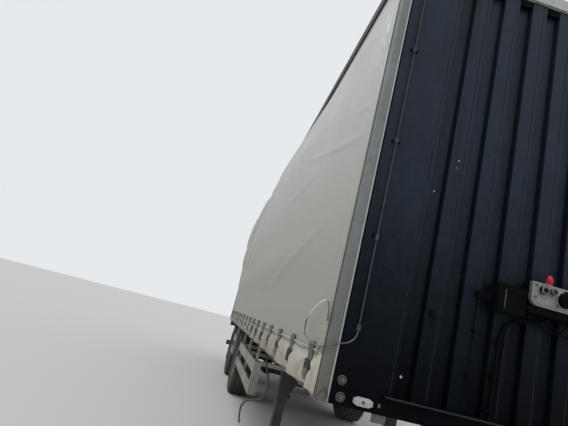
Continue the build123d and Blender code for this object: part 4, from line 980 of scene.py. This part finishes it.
        make_piece("sill_lip", lip, "Sill Dust")
        make_piece("post_beads", beads, "Bead Aluminium")
        make_piece("post_rivets", rivets, "Post Paint")
        make_piece("front_bolts", bolts, "Dull Zinc")
        make_piece("bolt_dishes", dishes, "Chassis Paint")
        make_piece("front_seam_and_shade_strips", seam_and_shade_strips, "Black Plastic")
        make_piece("groove_dark_lines", dark_lines, "Groove Line Paint")
        make_piece("sill_plates", plates, "Dull Zinc")
        make_piece("lamp_gaskets", gaskets, "Black Plastic")
        make_piece("lamp_lenses", lenses, "White Lens", ["marker_lamps"])
        make_piece("lamp_screws", screws, "Worn Steel")
        make_piece("wall_hardware", hardware, "Black Plastic")
        make_piece("bare_specks", chips, "Zinc Bolts")
        return {"FINISHED"}


# Service panel

# Place across, height and radius of each socket
socket_places = (
    (-0.158, 1.948, 0.024), (-0.100, 1.952, 0.020), (-0.020, 1.922, 0.043), (0.095, 1.922, 0.043),
    (0.195, 1.945, 0.020), (0.255, 1.945, 0.024), (0.325, 1.922, 0.036),
)
panel_screws = (
    (-0.196, 1.972), (-0.196, 1.905), (-0.060, 1.880), (0.040, 1.972), (0.150, 1.880), (0.366, 1.972),
    (0.366, 1.905),
)
panel_reach = 0.100
# Coupling head: radius and lift
coupling_profile = (
    (0.0, 0.0), (0.0175, 0.0), (0.0175, 0.005), (0.0150, 0.008), (0.0150, 0.014), (0.0178, 0.018),
    (0.0178, 0.040), (0.0160, 0.046), (0.0125, 0.050), (0.0120, 0.056), (0.0085, 0.061), (0.0, 0.063),
)
# Radius and route of each cable on the wall
harness = {
    "panel_cable_upper": (0.0065, (
        (-52, -20, 1830), (-52, -20, 1806), (-34, -80, 1790), (-22, -190, 1778), (-14, -262, 1748),
        (-12, -292, 1690), (-11, -294, 1560), (-11, -298, 1380), (-11, -300, 1202))),
    "panel_cable_loop": (0.0045, (
        (-50, 60, 1830), (-50, 60, 1796), (-34, 30, 1752), (-22, -30, 1742), (-20, -90, 1756),
        (-34, -130, 1790), (-46, -140, 1816), (-46, -140, 1830))),
    "panel_cable_rear": (0.0045, (
        (-50, 200, 1830), (-50, 200, 1790), (-34, 160, 1744), (-24, 90, 1734), (-24, 10, 1752),
        (-40, -40, 1790), (-46, -46, 1814), (-46, -46, 1830))),
    "side_cable": (0.0035, (
        (-14, -474, 1836), (-14, -474, 1800), (-8, -474, 1700), (-6, -473, 1500), (-6, -474, 1202))),
}


def housing_outline(inset):
    """Outline of the service panel, square above and rounded below."""
    low_y, high_y, low_z, high_z, corner = -0.215 + inset, 0.385 - inset, 1.856 + inset, 1.990 - inset, 0.044
    outline = [(low_y, high_z)]
    for centre_y, start_angle in ((low_y + corner, 180), (high_y - corner, 270)):
        for step in range(7):
            angle = math.radians(start_angle + 15 * step)
            outline.append((centre_y + corner * math.cos(angle), low_z + corner + corner * math.sin(angle)))
    return outline + [(high_y, high_z)]


def add_socket(sockets, flaps, kind, y, z, size):
    """Socket on the panel with its square flap, its pin face or its hinged and ribbed cap."""
    foot = panel_reach + 0.006
    centre = at(-foot, y, z)

    def block(bm, low, high, across, heights, bevel, segments=2):
        heights = [z + size * share for share in heights]
        add_box(bm, (-foot - low, -foot - high), across, heights, bevel, segments)

    if kind == "flap":
        add_courses(sockets, centre, ahead, (0, 0.014, size, None, 36, 0.001))
        block(flaps, 0.013, 0.022, about(y, size * 0.92), (-0.88, 0.98), 0.005, 3)
        block(sockets, 0.0215, 0.0235, about(y, size * 0.5), (-0.5, 0.45), 0.002)
        ends = [at(-foot - 0.016, place, z + size) for place in about(y, size * 0.7)]
        add_rod(flaps, *ends, 0.005, None, 12)
    elif kind == "pins":
        add_courses(flaps, centre, ahead, (0, 0.022, size, size * 0.94, 36, 0.002))
        add_courses(sockets, centre, ahead, (0.0215, 0.024, size * 0.62, None, 28, 0.0008))
        for angle in turns(7):
            spot = centre + Vector((0, math.cos(angle), math.sin(angle))) * size * 0.38
            add_courses(flaps, spot, ahead, (0.0235, 0.0265, 0.0018, None, 8))
    else:
        add_courses(sockets, centre, ahead, (0, 0.016, size, None, 36, 0.001),
                    (0.016, 0.024, size * 1.04, size * 0.96, 36, 0.002),
                    (0.024, 0.028, size * 0.70, size * 0.62, 28, 0.001))
        ends = [at(-foot - 0.018, place, z + size * 1.06) for place in about(y, size * 0.5)]
        add_rod(sockets, *ends, 0.0045, None, 12)
        block(sockets, 0.006, 0.022, about(y, size * 0.28), (0.8, 1.1), 0.002)
        for rib in (-1, 0, 1):
            block(sockets, 0.026, 0.030, about(y + rib * size * 0.3, 0.001), (-0.45, 0.45), 0.0006, 1)


class TRAILER_OT_service(bpy.types.Operator):
    """Build the service panel with its sockets, caps, coupling heads, boots and harness"""
    bl_idname = "trailer.service"
    bl_label = "Service Panel"

    def execute(self, context):
        body, casting, screws, sockets, flaps, boots, edges, saddles = new_meshes(8)
        add_plate(body, housing_outline(0.004), 0, 0.074, 0.003)
        add_plate(casting, housing_outline(0.0), -0.070, 0.026, 0.006)
        add_plate(casting, housing_outline(0.012), -0.095, 0.005, 0.002)
        for y, z in panel_screws:
            seat = at(-panel_reach, y, z)
            add_courses(casting, seat, ahead, (-0.001, 0.004, 0.010, 0.008, 20, 0.001))
            add_bolt(screws, seat + ahead * 0.004, ahead, 0.009)
        for y in (-0.130, 0.036, 0.150, 0.290):
            add_box(casting, (-0.074, -0.092), about(y, 0.004), (1.988, 1.997), 0.002)
        kinds = ("flap", "pins", "cap", "cap", "pins", "flap", "cap")
        for kind, (y, z, size) in zip(kinds, socket_places):
            add_courses(casting, at(-panel_reach, y, z), ahead,
                        (-0.001, 0.006, size + 0.008, size + 0.005, 36, 0.0015))
            add_socket(sockets, flaps, kind, y, z, size)

        # Upright coupling heads: neck, grip flutes and domed cap
        for y, finish, name, slot in (
            (-0.088, "Coupling Red", "supply", "coupling_red"), (0.258, "Coupling Yellow", "service", None),
        ):
            head = bmesh.new()
            base = at(-0.062, y, 1.990)
            up = Vector((0, 0, 1))
            add_spun(head, base, up, coupling_profile, 40)
            for angle in turns(12):
                spot = base + Vector((math.cos(angle), math.sin(angle), 0.0)) * 0.0175
                add_courses(head, spot, up, (0.020, 0.038, 0.0016, None, 8))
            make_piece(f"{name}_coupling_head", head, finish, ["air_couplings"])

        # Boots from the black bracket into the panel, their clamps, and the bracket's bolts
        for z, size in ((1.905, 0.024), (1.838, 0.020)):
            folds = [(size * (1.0 if number % 2 else 0.84), -0.352 + 0.0085 * number) for number in range(17)]
            profile = [(0.0, -0.358), (size, -0.358), *folds, (size, -0.212), (0.0, -0.212)]
            add_spun(boots, at(-0.044, 0.0, z), (0, 1, 0), profile, 24)
        add_box(boots, (0, -0.070), (-0.392, -0.350), (1.774, 1.941), 0.006)
        add_box(boots, (0, -0.020), (-0.352, -0.214), (1.786, 1.936), 0.003)
        # Black slab under the panel's foot, which also serves as the painted shadow beneath the panel
        add_box(boots, (-0.004, -0.082), (-0.210, 0.380), (1.812, 1.858), 0.010)
        for place in ((-0.070, -0.372, 1.800), (-0.070, -0.372, 1.915), (-0.026, -0.445, 1.848)):
            add_bolt(boots, at(*place), ahead, 0.010)
        add_box(edges, (-0.040, -0.074), (-0.3555, -0.3490), (1.800, 1.905), 0.002)
        for y, z, half in ((-0.321, 1.620, 0.030), (-0.322, 1.430, 0.030), (-0.322, 1.250, 0.030),
                           (-0.474, 1.640, 0.012), (-0.474, 1.400, 0.012)):
            add_box(saddles, (0, -0.028), about(y, half), about(z, 0.006), 0.003)
        for name, (radius, route) in harness.items():
            smooth_curve(name, route, radius, "Black Plastic")

        make_piece("service_body", body, "Black Plastic")
        make_piece("service_casting", casting, "Cast Aluminium", ["connector_panel"])
        make_piece("service_screws", screws, "Worn Steel")
        make_piece("socket_caps", sockets, "Black Plastic", ["service_sockets"])
        make_piece("socket_flaps", flaps, "Dull Zinc")
        make_piece("panel_boots_and_shadow", boots, "Black Plastic")
        make_piece("bracket_edges", edges, "Dark Cable")
        make_piece("harness_saddles", saddles, "Black Plastic")
        return {"FINISHED"}


# Roof

roof_bow_bays = 13


class TRAILER_OT_roof(bpy.types.Operator):
    """Stretch the roof tarpaulin over its bows, with welted edges and eyelets"""
    bl_idname = "trailer.roof"
    bl_label = "Roof Cloth"

    def execute(self, context):
        front, rear = 0.030, 10.640
        half_flat, overhang = 1.2695, 0.052
        low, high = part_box("roof_bows")
        bow_start = front_x - high.x + 0.025
        bow_pitch = (front_x - low.x - 0.025 - bow_start) / roof_bow_bays
        bm, gasket, lip, studs = new_meshes(4)
        bmesh.ops.create_grid(bm, x_segments=210, y_segments=44, size=0.5)
        for vert in bm.verts:
            behind = front + (rear - front) * (vert.co.x + 0.5)
            across = vert.co.y * 2 * (half_flat + overhang)
            y = max(-half_flat, min(half_flat, across))
            past = abs(across) - abs(y)
            between_bows = abs(math.sin(math.pi * (behind - bow_start) / bow_pitch))
            flat_share = 1 - eased(abs(y), 0.85, 1.25)
            ends = eased(behind, front, front + 0.3) * (1 - eased(behind, rear - 0.3, rear))
            puddle = noise_at(behind * 1.3, y * 1.6, 3.0)
            height = 3.9925 - (0.006 * between_bows + 0.003 * puddle) * flat_share * ends
            height -= 0.007 * eased(abs(y), 1.18, half_flat)
            if past:
                y += math.copysign(0.0012 * (1 + math.sin(behind * 21.0)), across)
            vert.co = at(behind, y, height - past)
        cloth = make_piece("roof_cloth", bm, "Roof Cloth", ["roof_sheet"])
        thicken(cloth)

        for side, sign in sides:
            # The first box is the black seal along each curtain's top edge, which also serves as painted shadow
            # in the gap under the roof rail
            for bm, front, across, heights, bevel in (
                (gasket, 0.092, (1.2600, 1.2712), (3.899, 3.926), 0.002),
                (gasket, 0.020, (1.2840, 1.2880), (3.927, 3.941), 0.0015),
                (lip, 0.020, (1.2600, 1.2850), (3.9255, 3.9335), 0.0015),
            ):
                add_box(bm, (front, rear_post_behind), [sign * y for y in across], heights, bevel)
            for number in range(35):
                spot = at(0.2 + 0.3 * number, sign * 1.2705, 3.952)
                add_courses(studs, spot, Vector((0, sign, 0)), (0, 0.003, 0.008, 0.006, 12))
        make_piece("rail_gasket_and_shadow", gasket, "Seal Rubber")
        make_piece("rail_lip", lip, "Header Paint")
        make_piece("roof_studs", studs, "Zinc Bolts")
        return {"FINISHED"}


# Rear

door_behind = 10.736
lock_rod_ys = (0.330, 0.930)
lens_behind = 10.7225
reflector_y, reflector_z = 0.95, 0.478


class TRAILER_OT_rear(bpy.types.Operator):
    """Fit the door seals, hinge and guide bolts, handle grips, lamp lenses, reflectors and blank plate"""
    bl_idname = "trailer.rear"
    bl_label = "Rear Fittings"

    def execute(self, context):
        back = -ahead
        for side, sign in sides:
            body = f"{side}_door"
            seals, bolts, grips = new_meshes(3)
            for across, heights in (
                ((0.005, 1.248), (1.132, 1.150)), ((0.005, 1.248), (3.940, 3.958)),
                ((0.005, 0.023), (1.132, 3.958)), ((1.230, 1.248), (1.132, 3.958)),
            ):
                across = [sign * y for y in across]
                add_box(seals, (door_behind - 0.001, door_behind + 0.0045), across, heights, 0.0015)
            for hinge in range(5):
                for y in (1.136, 1.161, 1.186):
                    add_bolt(bolts, at(door_behind + 0.006, sign * y, 1.26 + hinge * 0.64), back, 0.012)
            for rod_y, reach in zip(lock_rod_ys, (0.420, 0.150)):
                for guide in range(4):
                    for y in about(sign * rod_y, 0.024):
                        add_bolt(bolts, at(10.760, y, 1.308 + guide * 2.474 / 3), back, 0.009)
                across = [sign * (rod_y + reach + edge) for edge in (-0.105, 0.004)]
                add_box(grips, (10.770, 10.788), across, (1.644, 1.676), 0.005, 3)
            make_piece(f"door_seals_{side}", seals, "Seal Rubber", body=body)
            make_piece(f"door_bolts_{side}", bolts, "Zinc Bolts", body=body)
            make_piece(f"handle_grips_{side}", grips, "Black Plastic", body=body)

        boards, housings, plate, holder, triangles, backing = new_meshes(6)
        for side, sign in sides:
            # Lamp board, then the underrun bar's end cap
            for bm, behind, across, heights, bevel in (
                (boards, (10.666, 10.674), (0.720, 1.230), (0.950, 1.100), 0.002),
                (housings, (10.670, 10.715), (0.766, 1.214), (0.961, 1.089), 0.010),
                (backing, (10.374, 10.466), (1.214, 1.219), (0.436, 0.544), 0.002),
            ):
                add_box(bm, behind, [sign * y for y in across], heights, bevel)
            # Triangular reflector on its backing
            for bm, size, depth in ((backing, 0.062, -0.004), (triangles, 0.054, -0.007)):
                outline = [(sign * reflector_y + size * math.sin(angle), reflector_z + size * math.cos(angle))
                           for angle in turns(3)]
                add_plate(bm, outline, 10.4702, depth, 0.0012)
        add_box(plate, (10.690, 10.694), (-0.260, 0.260), (0.956, 1.070), 0.003)
        add_box(holder, (10.684, 10.690), (-0.266, 0.266), (0.950, 1.101), 0.002)
        for y in (-0.16, 0.16):
            add_box(holder, (10.686, 10.706), about(y, 0.022), (1.072, 1.090), 0.004)
        make_piece("lamp_boards", boards, "Chassis Paint")
        make_piece("lamp_housings", housings, "Black Plastic", stands_for=["tail_lamps"])
        make_piece("blank_plate", plate, "Plate White")
        make_piece("plate_holder", holder, "Black Plastic")
        make_piece("reflectors", triangles, "Red Lens")
        make_piece("underrun_caps", backing, "Black Plastic")

        # Three lenses on each board, with two rings each: white inside, amber, red outside
        for number, (name, slot) in enumerate((("white", None), ("amber", None), ("red", "tail_lamp_red"))):
            lenses = bmesh.new()
            for side, sign in sides:
                middle = sign * (0.84135 + number * 0.1487)
                add_box(lenses, (10.710, lens_behind), about(middle, 0.06735), (0.969, 1.081), 0.004, 3)
                add_courses(lenses, at(lens_behind, middle, 1.025), back, (0, 0.002, 0.043, 0.041, 36),
                            (0.002, 0.004, 0.026, 0.024, 32))
            make_piece(f"tail_lenses_{name}", lenses, f"{name.title()} Lens")
        return {"FINISHED"}


# Chassis

guard_bolt_places = (3.030, 4.097, 5.164, 6.836, 7.164)
leg_behind = 3.45
arm_y = 0.6
pivot_ahead = 0.520
clamp_foot_z = 0.470


def wheel_stations():
    """Side, sign, number and centre of each wheel."""
    return [
        (side, sign, number, Vector((axle_x, sign * wheel_y, tyre_radius)))
        for side, sign in sides for number, axle_x in enumerate(axle_xs, start=1)
    ]


class TRAILER_OT_chassis(bpy.types.Operator):
    """Bolt the guards, hangers, arms and legs, and run the air lines along the beams"""
    bl_idname = "trailer.chassis"
    bl_label = "Chassis Fittings"

    def execute(self, context):
        bolts, clamps = new_meshes(2)
        guard_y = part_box("side_guards")[1].y
        up = Vector((0, 0, 1))
        for side, sign in sides:
            out = Vector((0.0, sign, 0.0))
            for middle in guard_bolt_places:
                for height in (0.600, 0.655, 0.835, 0.890):
                    for behind in about(middle, 0.012):
                        add_bolt(bolts, at(behind, sign * guard_y, height), out, 0.010, washer=False)
            # Mounting bolts of the leg
            for along in (-0.052, 0.0, 0.052):
                for height in (0.850, 1.010):
                    add_bolt(bolts, at(leg_behind + along, sign * 0.814, height), out, 0.013)
        for side, sign, number, centre in wheel_stations():
            axle_behind = front_x - centre.x
            # Pivot bolt through the hanger, then U-bolts over the arm at the axle
            for turn in (-1, 1):
                outward = Vector((0.0, sign * turn, 0.0))
                seat = at(axle_behind - pivot_ahead, sign * (arm_y + turn * 0.043), 0.654)
                add_bolt(bolts, seat + outward * 0.012, outward, 0.036)
            for behind in about(axle_behind, 0.055):
                for y in about(arm_y, 0.050):
                    foot = at(behind, sign * y, clamp_foot_z)
                    add_courses(clamps, foot, up, (0, 0.220, 0.009, None, 12))
                    add_bolt(clamps, foot + up * 0.202, up, 0.022)
                add_box(clamps, about(behind, 0.012), about(sign * arm_y, 0.062), (0.452, 0.472), 0.004)
            hose = [(-160, 588, 985), (-160, 520, 960), (-190, 440, 860), (-200, 420, 760), (-180, 420, 700),
                    (-170, 420, 680)]
            hose = [(1000 * axle_behind + along, sign * y, z) for along, y, z in hose]
            smooth_curve(f"brake_hose_{side}_{number}", hose, 0.008, "Hose Rubber")
        make_piece("chassis_bolts", bolts, "Zinc Bolts")
        make_piece("axle_clamps", clamps, "Chassis Paint")

        # Air lines that end over the rear axle, and the loom that runs on to the lamp boards
        axle_end = 1000 * (front_x - axle_xs[1]) + 60
        to_lamps = [(10300, 588, 966), (10560, 640, 985), (10666, 770, 1010)]
        for name, finish, radius, drop, ending in (
            ("supply_line", "Spring Rubber", 0.005, 0, []), ("service_line", "Spring Rubber", 0.005, 14, []),
            ("lighting_loom", "Black Plastic", 0.008, 34, to_lamps),
        ):
            route = [(3560 + drop, 540, 1150), (3590 + drop, 582, 1100), (3700, 588, 1020 - drop),
                     (5200, 588, 1000 - drop), (axle_end, 588, 1000 - drop)]
            smooth_curve(name, route + ending, radius, finish)
        return {"FINISHED"}


# Tyres and wheels

# Radius and distance from the middle, from the bead to the shoulder
tyre_half_section = (
    (0.2860, 0.1430), (0.2900, 0.1520), (0.3060, 0.1560), (0.3120, 0.1530), (0.3500, 0.1750),
    (0.3560, 0.1795), (0.3620, 0.1790), (0.3720, 0.1820), (0.3735, 0.1842), (0.3765, 0.1846), (0.3780, 0.1828),
    (0.4050, 0.1910), (0.4120, 0.1922), (0.4190, 0.1910), (0.4400, 0.1884), (0.4415, 0.1906), (0.4445, 0.1904),
    (0.4460, 0.1878), (0.4620, 0.1860), (0.4700, 0.1870), (0.4780, 0.1830), (0.5060, 0.1740), (0.5240, 0.1650),
)
rib_edges = ((-0.1610, -0.1080), (-0.0950, -0.0420), (-0.0290, 0.0290), (0.0420, 0.0950), (0.1080, 0.1610))
shoulder_ribs = 72
block_height = 0.0045
# Radius and lift
hub_cap = (
    (0.0, 0.154), (0.030, 0.154), (0.046, 0.150), (0.056, 0.142), (0.060, 0.139), (0.072, 0.139), (0.074, 0.136),
    (0.0, 0.136),
)
valve_angle = 0.31
nut_ring, cap_bolt_ring = 0.190, 0.092


class TRAILER_OT_tyres(bpy.types.Operator):
    """Spin the four ribbed tyres and cut their tread blocks"""
    bl_idname = "trailer.tyres"
    bl_label = "Tyres"

    def execute(self, context):
        depth = context.scene.trailer_sizes.tread_depth
        top = tyre_radius - block_height
        section = [(radius, -y) for radius, y in tyre_half_section]
        for low, high in rib_edges:
            rib = top - 0.006 * ((low + high) / 2 / 0.16) ** 2
            section += [(rib - depth, low - 0.002), (rib, low), (rib, high), (rib - depth, high + 0.002)]
        section += reversed(tyre_half_section)
        for side, sign, number, centre in wheel_stations():
            bm = bmesh.new()
            add_spun(bm, centre, (0, 1, 0), section, 132)
            bmesh.ops.recalc_face_normals(bm, faces=bm.faces)
            ribs = []
            for face in bm.faces:
                middle = face.calc_center_median() - centre
                if math.hypot(middle.x, middle.z) > top - 0.0075 and abs(face.normal.y) < 0.2:
                    ribs.append(face)
            bmesh.ops.inset_individual(bm, faces=ribs, thickness=0.0016, depth=block_height, use_even_offset=True)
            for angle in turns(shoulder_ribs):
                for face_sign in (1, -1):
                    low = centre + ray(angle) * 0.480 + Vector((0.0, face_sign * 0.1815, 0.0))
                    high = centre + ray(angle) * 0.5045 + Vector((0.0, face_sign * 0.1738, 0.0))
                    add_rod(bm, low, high, 0.0032, None, 6)
            wheel = f"{side}_{number}"
            make_piece(f"tyre_tread_{wheel}", bm, "Tyre Rubber", [f"tyre_{wheel}"],
                       body=f"{side}_wheel_{number}")
        return {"FINISHED"}


class TRAILER_OT_wheels(bpy.types.Operator):
    """Fit nuts, studs, hub caps and valves to the four wheels"""
    bl_idname = "trailer.wheels"
    bl_label = "Wheel Fittings"

    def execute(self, context):
        for side, sign, number, centre in wheel_stations():
            out = Vector((0.0, sign, 0.0))
            nuts, cap, valve = new_meshes(3)
            for angle in turns(10, 0.5):
                seat = centre + ray(angle) * nut_ring
                add_courses(nuts, seat, out, (0.028, 0.033, 0.0230, None, 20),
                            (0.033, 0.058, 0.0180, None, 6, 0.002), (0.058, 0.074, 0.0105, None, 12, 0.0015))
            for angle in turns(6):
                add_bolt(nuts, centre + ray(angle) * cap_bolt_ring + out * 0.1235, out, 0.013)
            add_spun(cap, centre, out, hub_cap, 40)
            bends = [centre + ray(valve_angle) * radius + out * lift
                     for radius, lift in ((0.262, 0.048), (0.250, 0.078), (0.244, 0.094))]
            add_rod(valve, *bends[:2], 0.0055, None, 12)
            add_rod(valve, *bends[1:], 0.0070, None, 12, 0.001)
            for name, bm, finish in (
                ("wheel_nuts", nuts, "Zinc Bolts"), ("hub_cap", cap, "Rear Frame Paint"),
                ("tyre_valve", valve, "Black Plastic"),
            ):
                make_piece(f"{name}_{side}_{number}", bm, finish, body=f"{side}_wheel_{number}")
        return {"FINISHED"}


# Cords, in millimetres behind, across and up

seal_route = (
    (-12, -1120, 1484), (-12, -1120, 1448), (-14, -1160, 1410), (-14, -1203, 1397),
    (-14, -1243, 1382), (-3, -1279, 1366), (25, -1293, 1356), (70, -1296, 1352),
    (147, -1297, 1359), (235, -1295, 1362), (320, -1293, 1368), (400, -1292, 1380),
    (459, -1292, 1392), (486, -1293, 1419), (489, -1294, 1457), (469, -1295, 1489),
    (417, -1296, 1519), (330, -1297, 1553), (250, -1298, 1580), (170, -1298, 1599),
    (95, -1297, 1602), (38, -1296, 1590), (8, -1295, 1562), (-2, -1294, 1525),
)
hose_route = (
    (2286, -1212, 1071), (2286, -1212, 1008), (2241, -1185, 928), (2198, -1159, 855),
    (2176, -1145, 790), (2181, -1148, 722), (2212, -1167, 668), (2268, -1201, 636),
    (2340, -1245, 612), (2412, -1288, 583), (2463, -1318, 531), (2477, -1327, 462),
    (2455, -1314, 395),
)


class TRAILER_OT_cords(bpy.types.Operator):
    """Lay the free end of the seal cable and the hanging hose"""
    bl_idname = "trailer.cords"
    bl_label = "Cords"

    def execute(self, context):
        seal = smooth_curve("seal_cable_free_end", seal_route, 0.004, "Cable Cover",
                            ["seal_cable_loop"])
        hose = smooth_curve("hose_free_end", hose_route, 0.010, "Hose Rubber", ["hanging_hose"])
        return {"FINISHED"}


# Stage


class TRAILER_OT_stage(bpy.types.Operator):
    """Set up the floor, the light and the camera"""
    bl_idname = "trailer.stage"
    bl_label = "Stage"

    def execute(self, context):
        scene = context.scene
        scene.view_settings.view_transform = "Standard"
        pale = Finish("Pale Floor")
        pale.base = (0.62, 0.61, 0.59, 1.0)
        pale.finish({"Roughness": 0.9})
        bm = bmesh.new()
        bmesh.ops.create_grid(bm, x_segments=1, y_segments=1, size=60.0)
        mesh = bpy.data.meshes.new("floor")
        bm.to_mesh(mesh)
        bm.free()
        mesh.materials.append(bpy.data.materials["Pale Floor"])
        floor = bpy.data.objects.new("floor", mesh)
        scene.collection.objects.link(floor)

        # Cool light from all round, in front of a plain pale backdrop
        world = bpy.data.worlds.new("Soft Studio")
        scene.world = world
        world.use_nodes = True
        n = Nodes(world.node_tree)
        light = n.put(n.tree.nodes["Background"], {"Color": (0.93, 0.96, 1.0, 1.0), "Strength": 0.62})
        backdrop = n.add("Background", {"Color": (0.80, 0.82, 0.84, 1.0), "Strength": 1.0})
        rays = n.add("LightPath", {}).outputs
        seen = n.plus(rays["Is Camera Ray"], rays["Is Transmission Ray"])
        both = n.add("MixShader", {0: seen, 1: light.outputs[0], 2: backdrop.outputs[0]})
        n.put(n.tree.nodes["World Output"], {"Surface": both.outputs[0]})
        for name, direction, strength, spread in (
            ("key_light", (-0.35, 0.55, -0.95), 1.15, 50.0), ("fill_light", (-0.9, -0.35, -0.5), 0.35, 70.0),
        ):
            lamp = bpy.data.lights.new(name, "SUN")
            lamp.energy = strength
            lamp.angle = math.radians(spread)
            holder = bpy.data.objects.new(name, lamp)
            holder.rotation_euler = Vector(direction).to_track_quat("-Z", "Y").to_euler()
            scene.collection.objects.link(holder)

        # Camera fitted to the photo's corners, grooves and straps
        focal_pixels, photo_width = 427.8, 568.0
        camera = bpy.data.cameras.new("photo_camera")
        camera.sensor_fit = "HORIZONTAL"
        camera.sensor_width = 36.0
        camera.lens = focal_pixels / photo_width * camera.sensor_width
        camera.clip_end = 200.0
        viewer = bpy.data.objects.new("photo_camera", camera)
        right = Vector((0.1614, 0.9561, 0.2447))
        down = Vector((-0.2018, 0.2746, -0.9401))
        forward = Vector((-0.9660, 0.1023, 0.2372))
        turn = Matrix((right, -down, -forward)).transposed().to_4x4()
        viewer.matrix_world = Matrix.Translation(at(-2.256, -1.896, 1.436)) @ turn
        scene.collection.objects.link(viewer)
        scene.camera = viewer
        return {"FINISHED"}


class TRAILER_PT_panel(bpy.types.Panel):
    """Sidebar panel with the trailer's settings and steps"""
    bl_label = "Trailer"
    bl_idname = "TRAILER_PT_panel"
    bl_space_type = "VIEW_3D"
    bl_region_type = "UI"
    bl_category = "Trailer"

    def draw(self, context):
        for settings in (context.scene.trailer_colours, context.scene.trailer_sizes):
            for name in type(settings).__annotations__:
                self.layout.prop(settings, name)
        for step in steps:
            self.layout.operator(step.bl_idname)


steps = (
    TRAILER_OT_finishes, TRAILER_OT_curtains, TRAILER_OT_straps, TRAILER_OT_front, TRAILER_OT_service,
    TRAILER_OT_roof, TRAILER_OT_rear, TRAILER_OT_chassis, TRAILER_OT_tyres, TRAILER_OT_wheels,
    TRAILER_OT_cords, TRAILER_OT_stage,
)
classes = (TrailerColours, TrailerSizes, *steps, TRAILER_PT_panel)


def register():
    """Register the classes and the scene's settings."""
    for kind in classes:
        bpy.utils.register_class(kind)
    bpy.types.Scene.trailer_colours = bpy.props.PointerProperty(type=TrailerColours)
    bpy.types.Scene.trailer_sizes = bpy.props.PointerProperty(type=TrailerSizes)


def unregister():
    """Remove the settings and the classes."""
    del bpy.types.Scene.trailer_sizes
    del bpy.types.Scene.trailer_colours
    for kind in reversed(classes):
        bpy.utils.unregister_class(kind)


def main():
    """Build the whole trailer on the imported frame."""
    register()
    for step in steps:
        group, name = step.bl_idname.split(".")
        getattr(getattr(bpy.ops, group), name)()


if __name__ == "__main__":
    main()
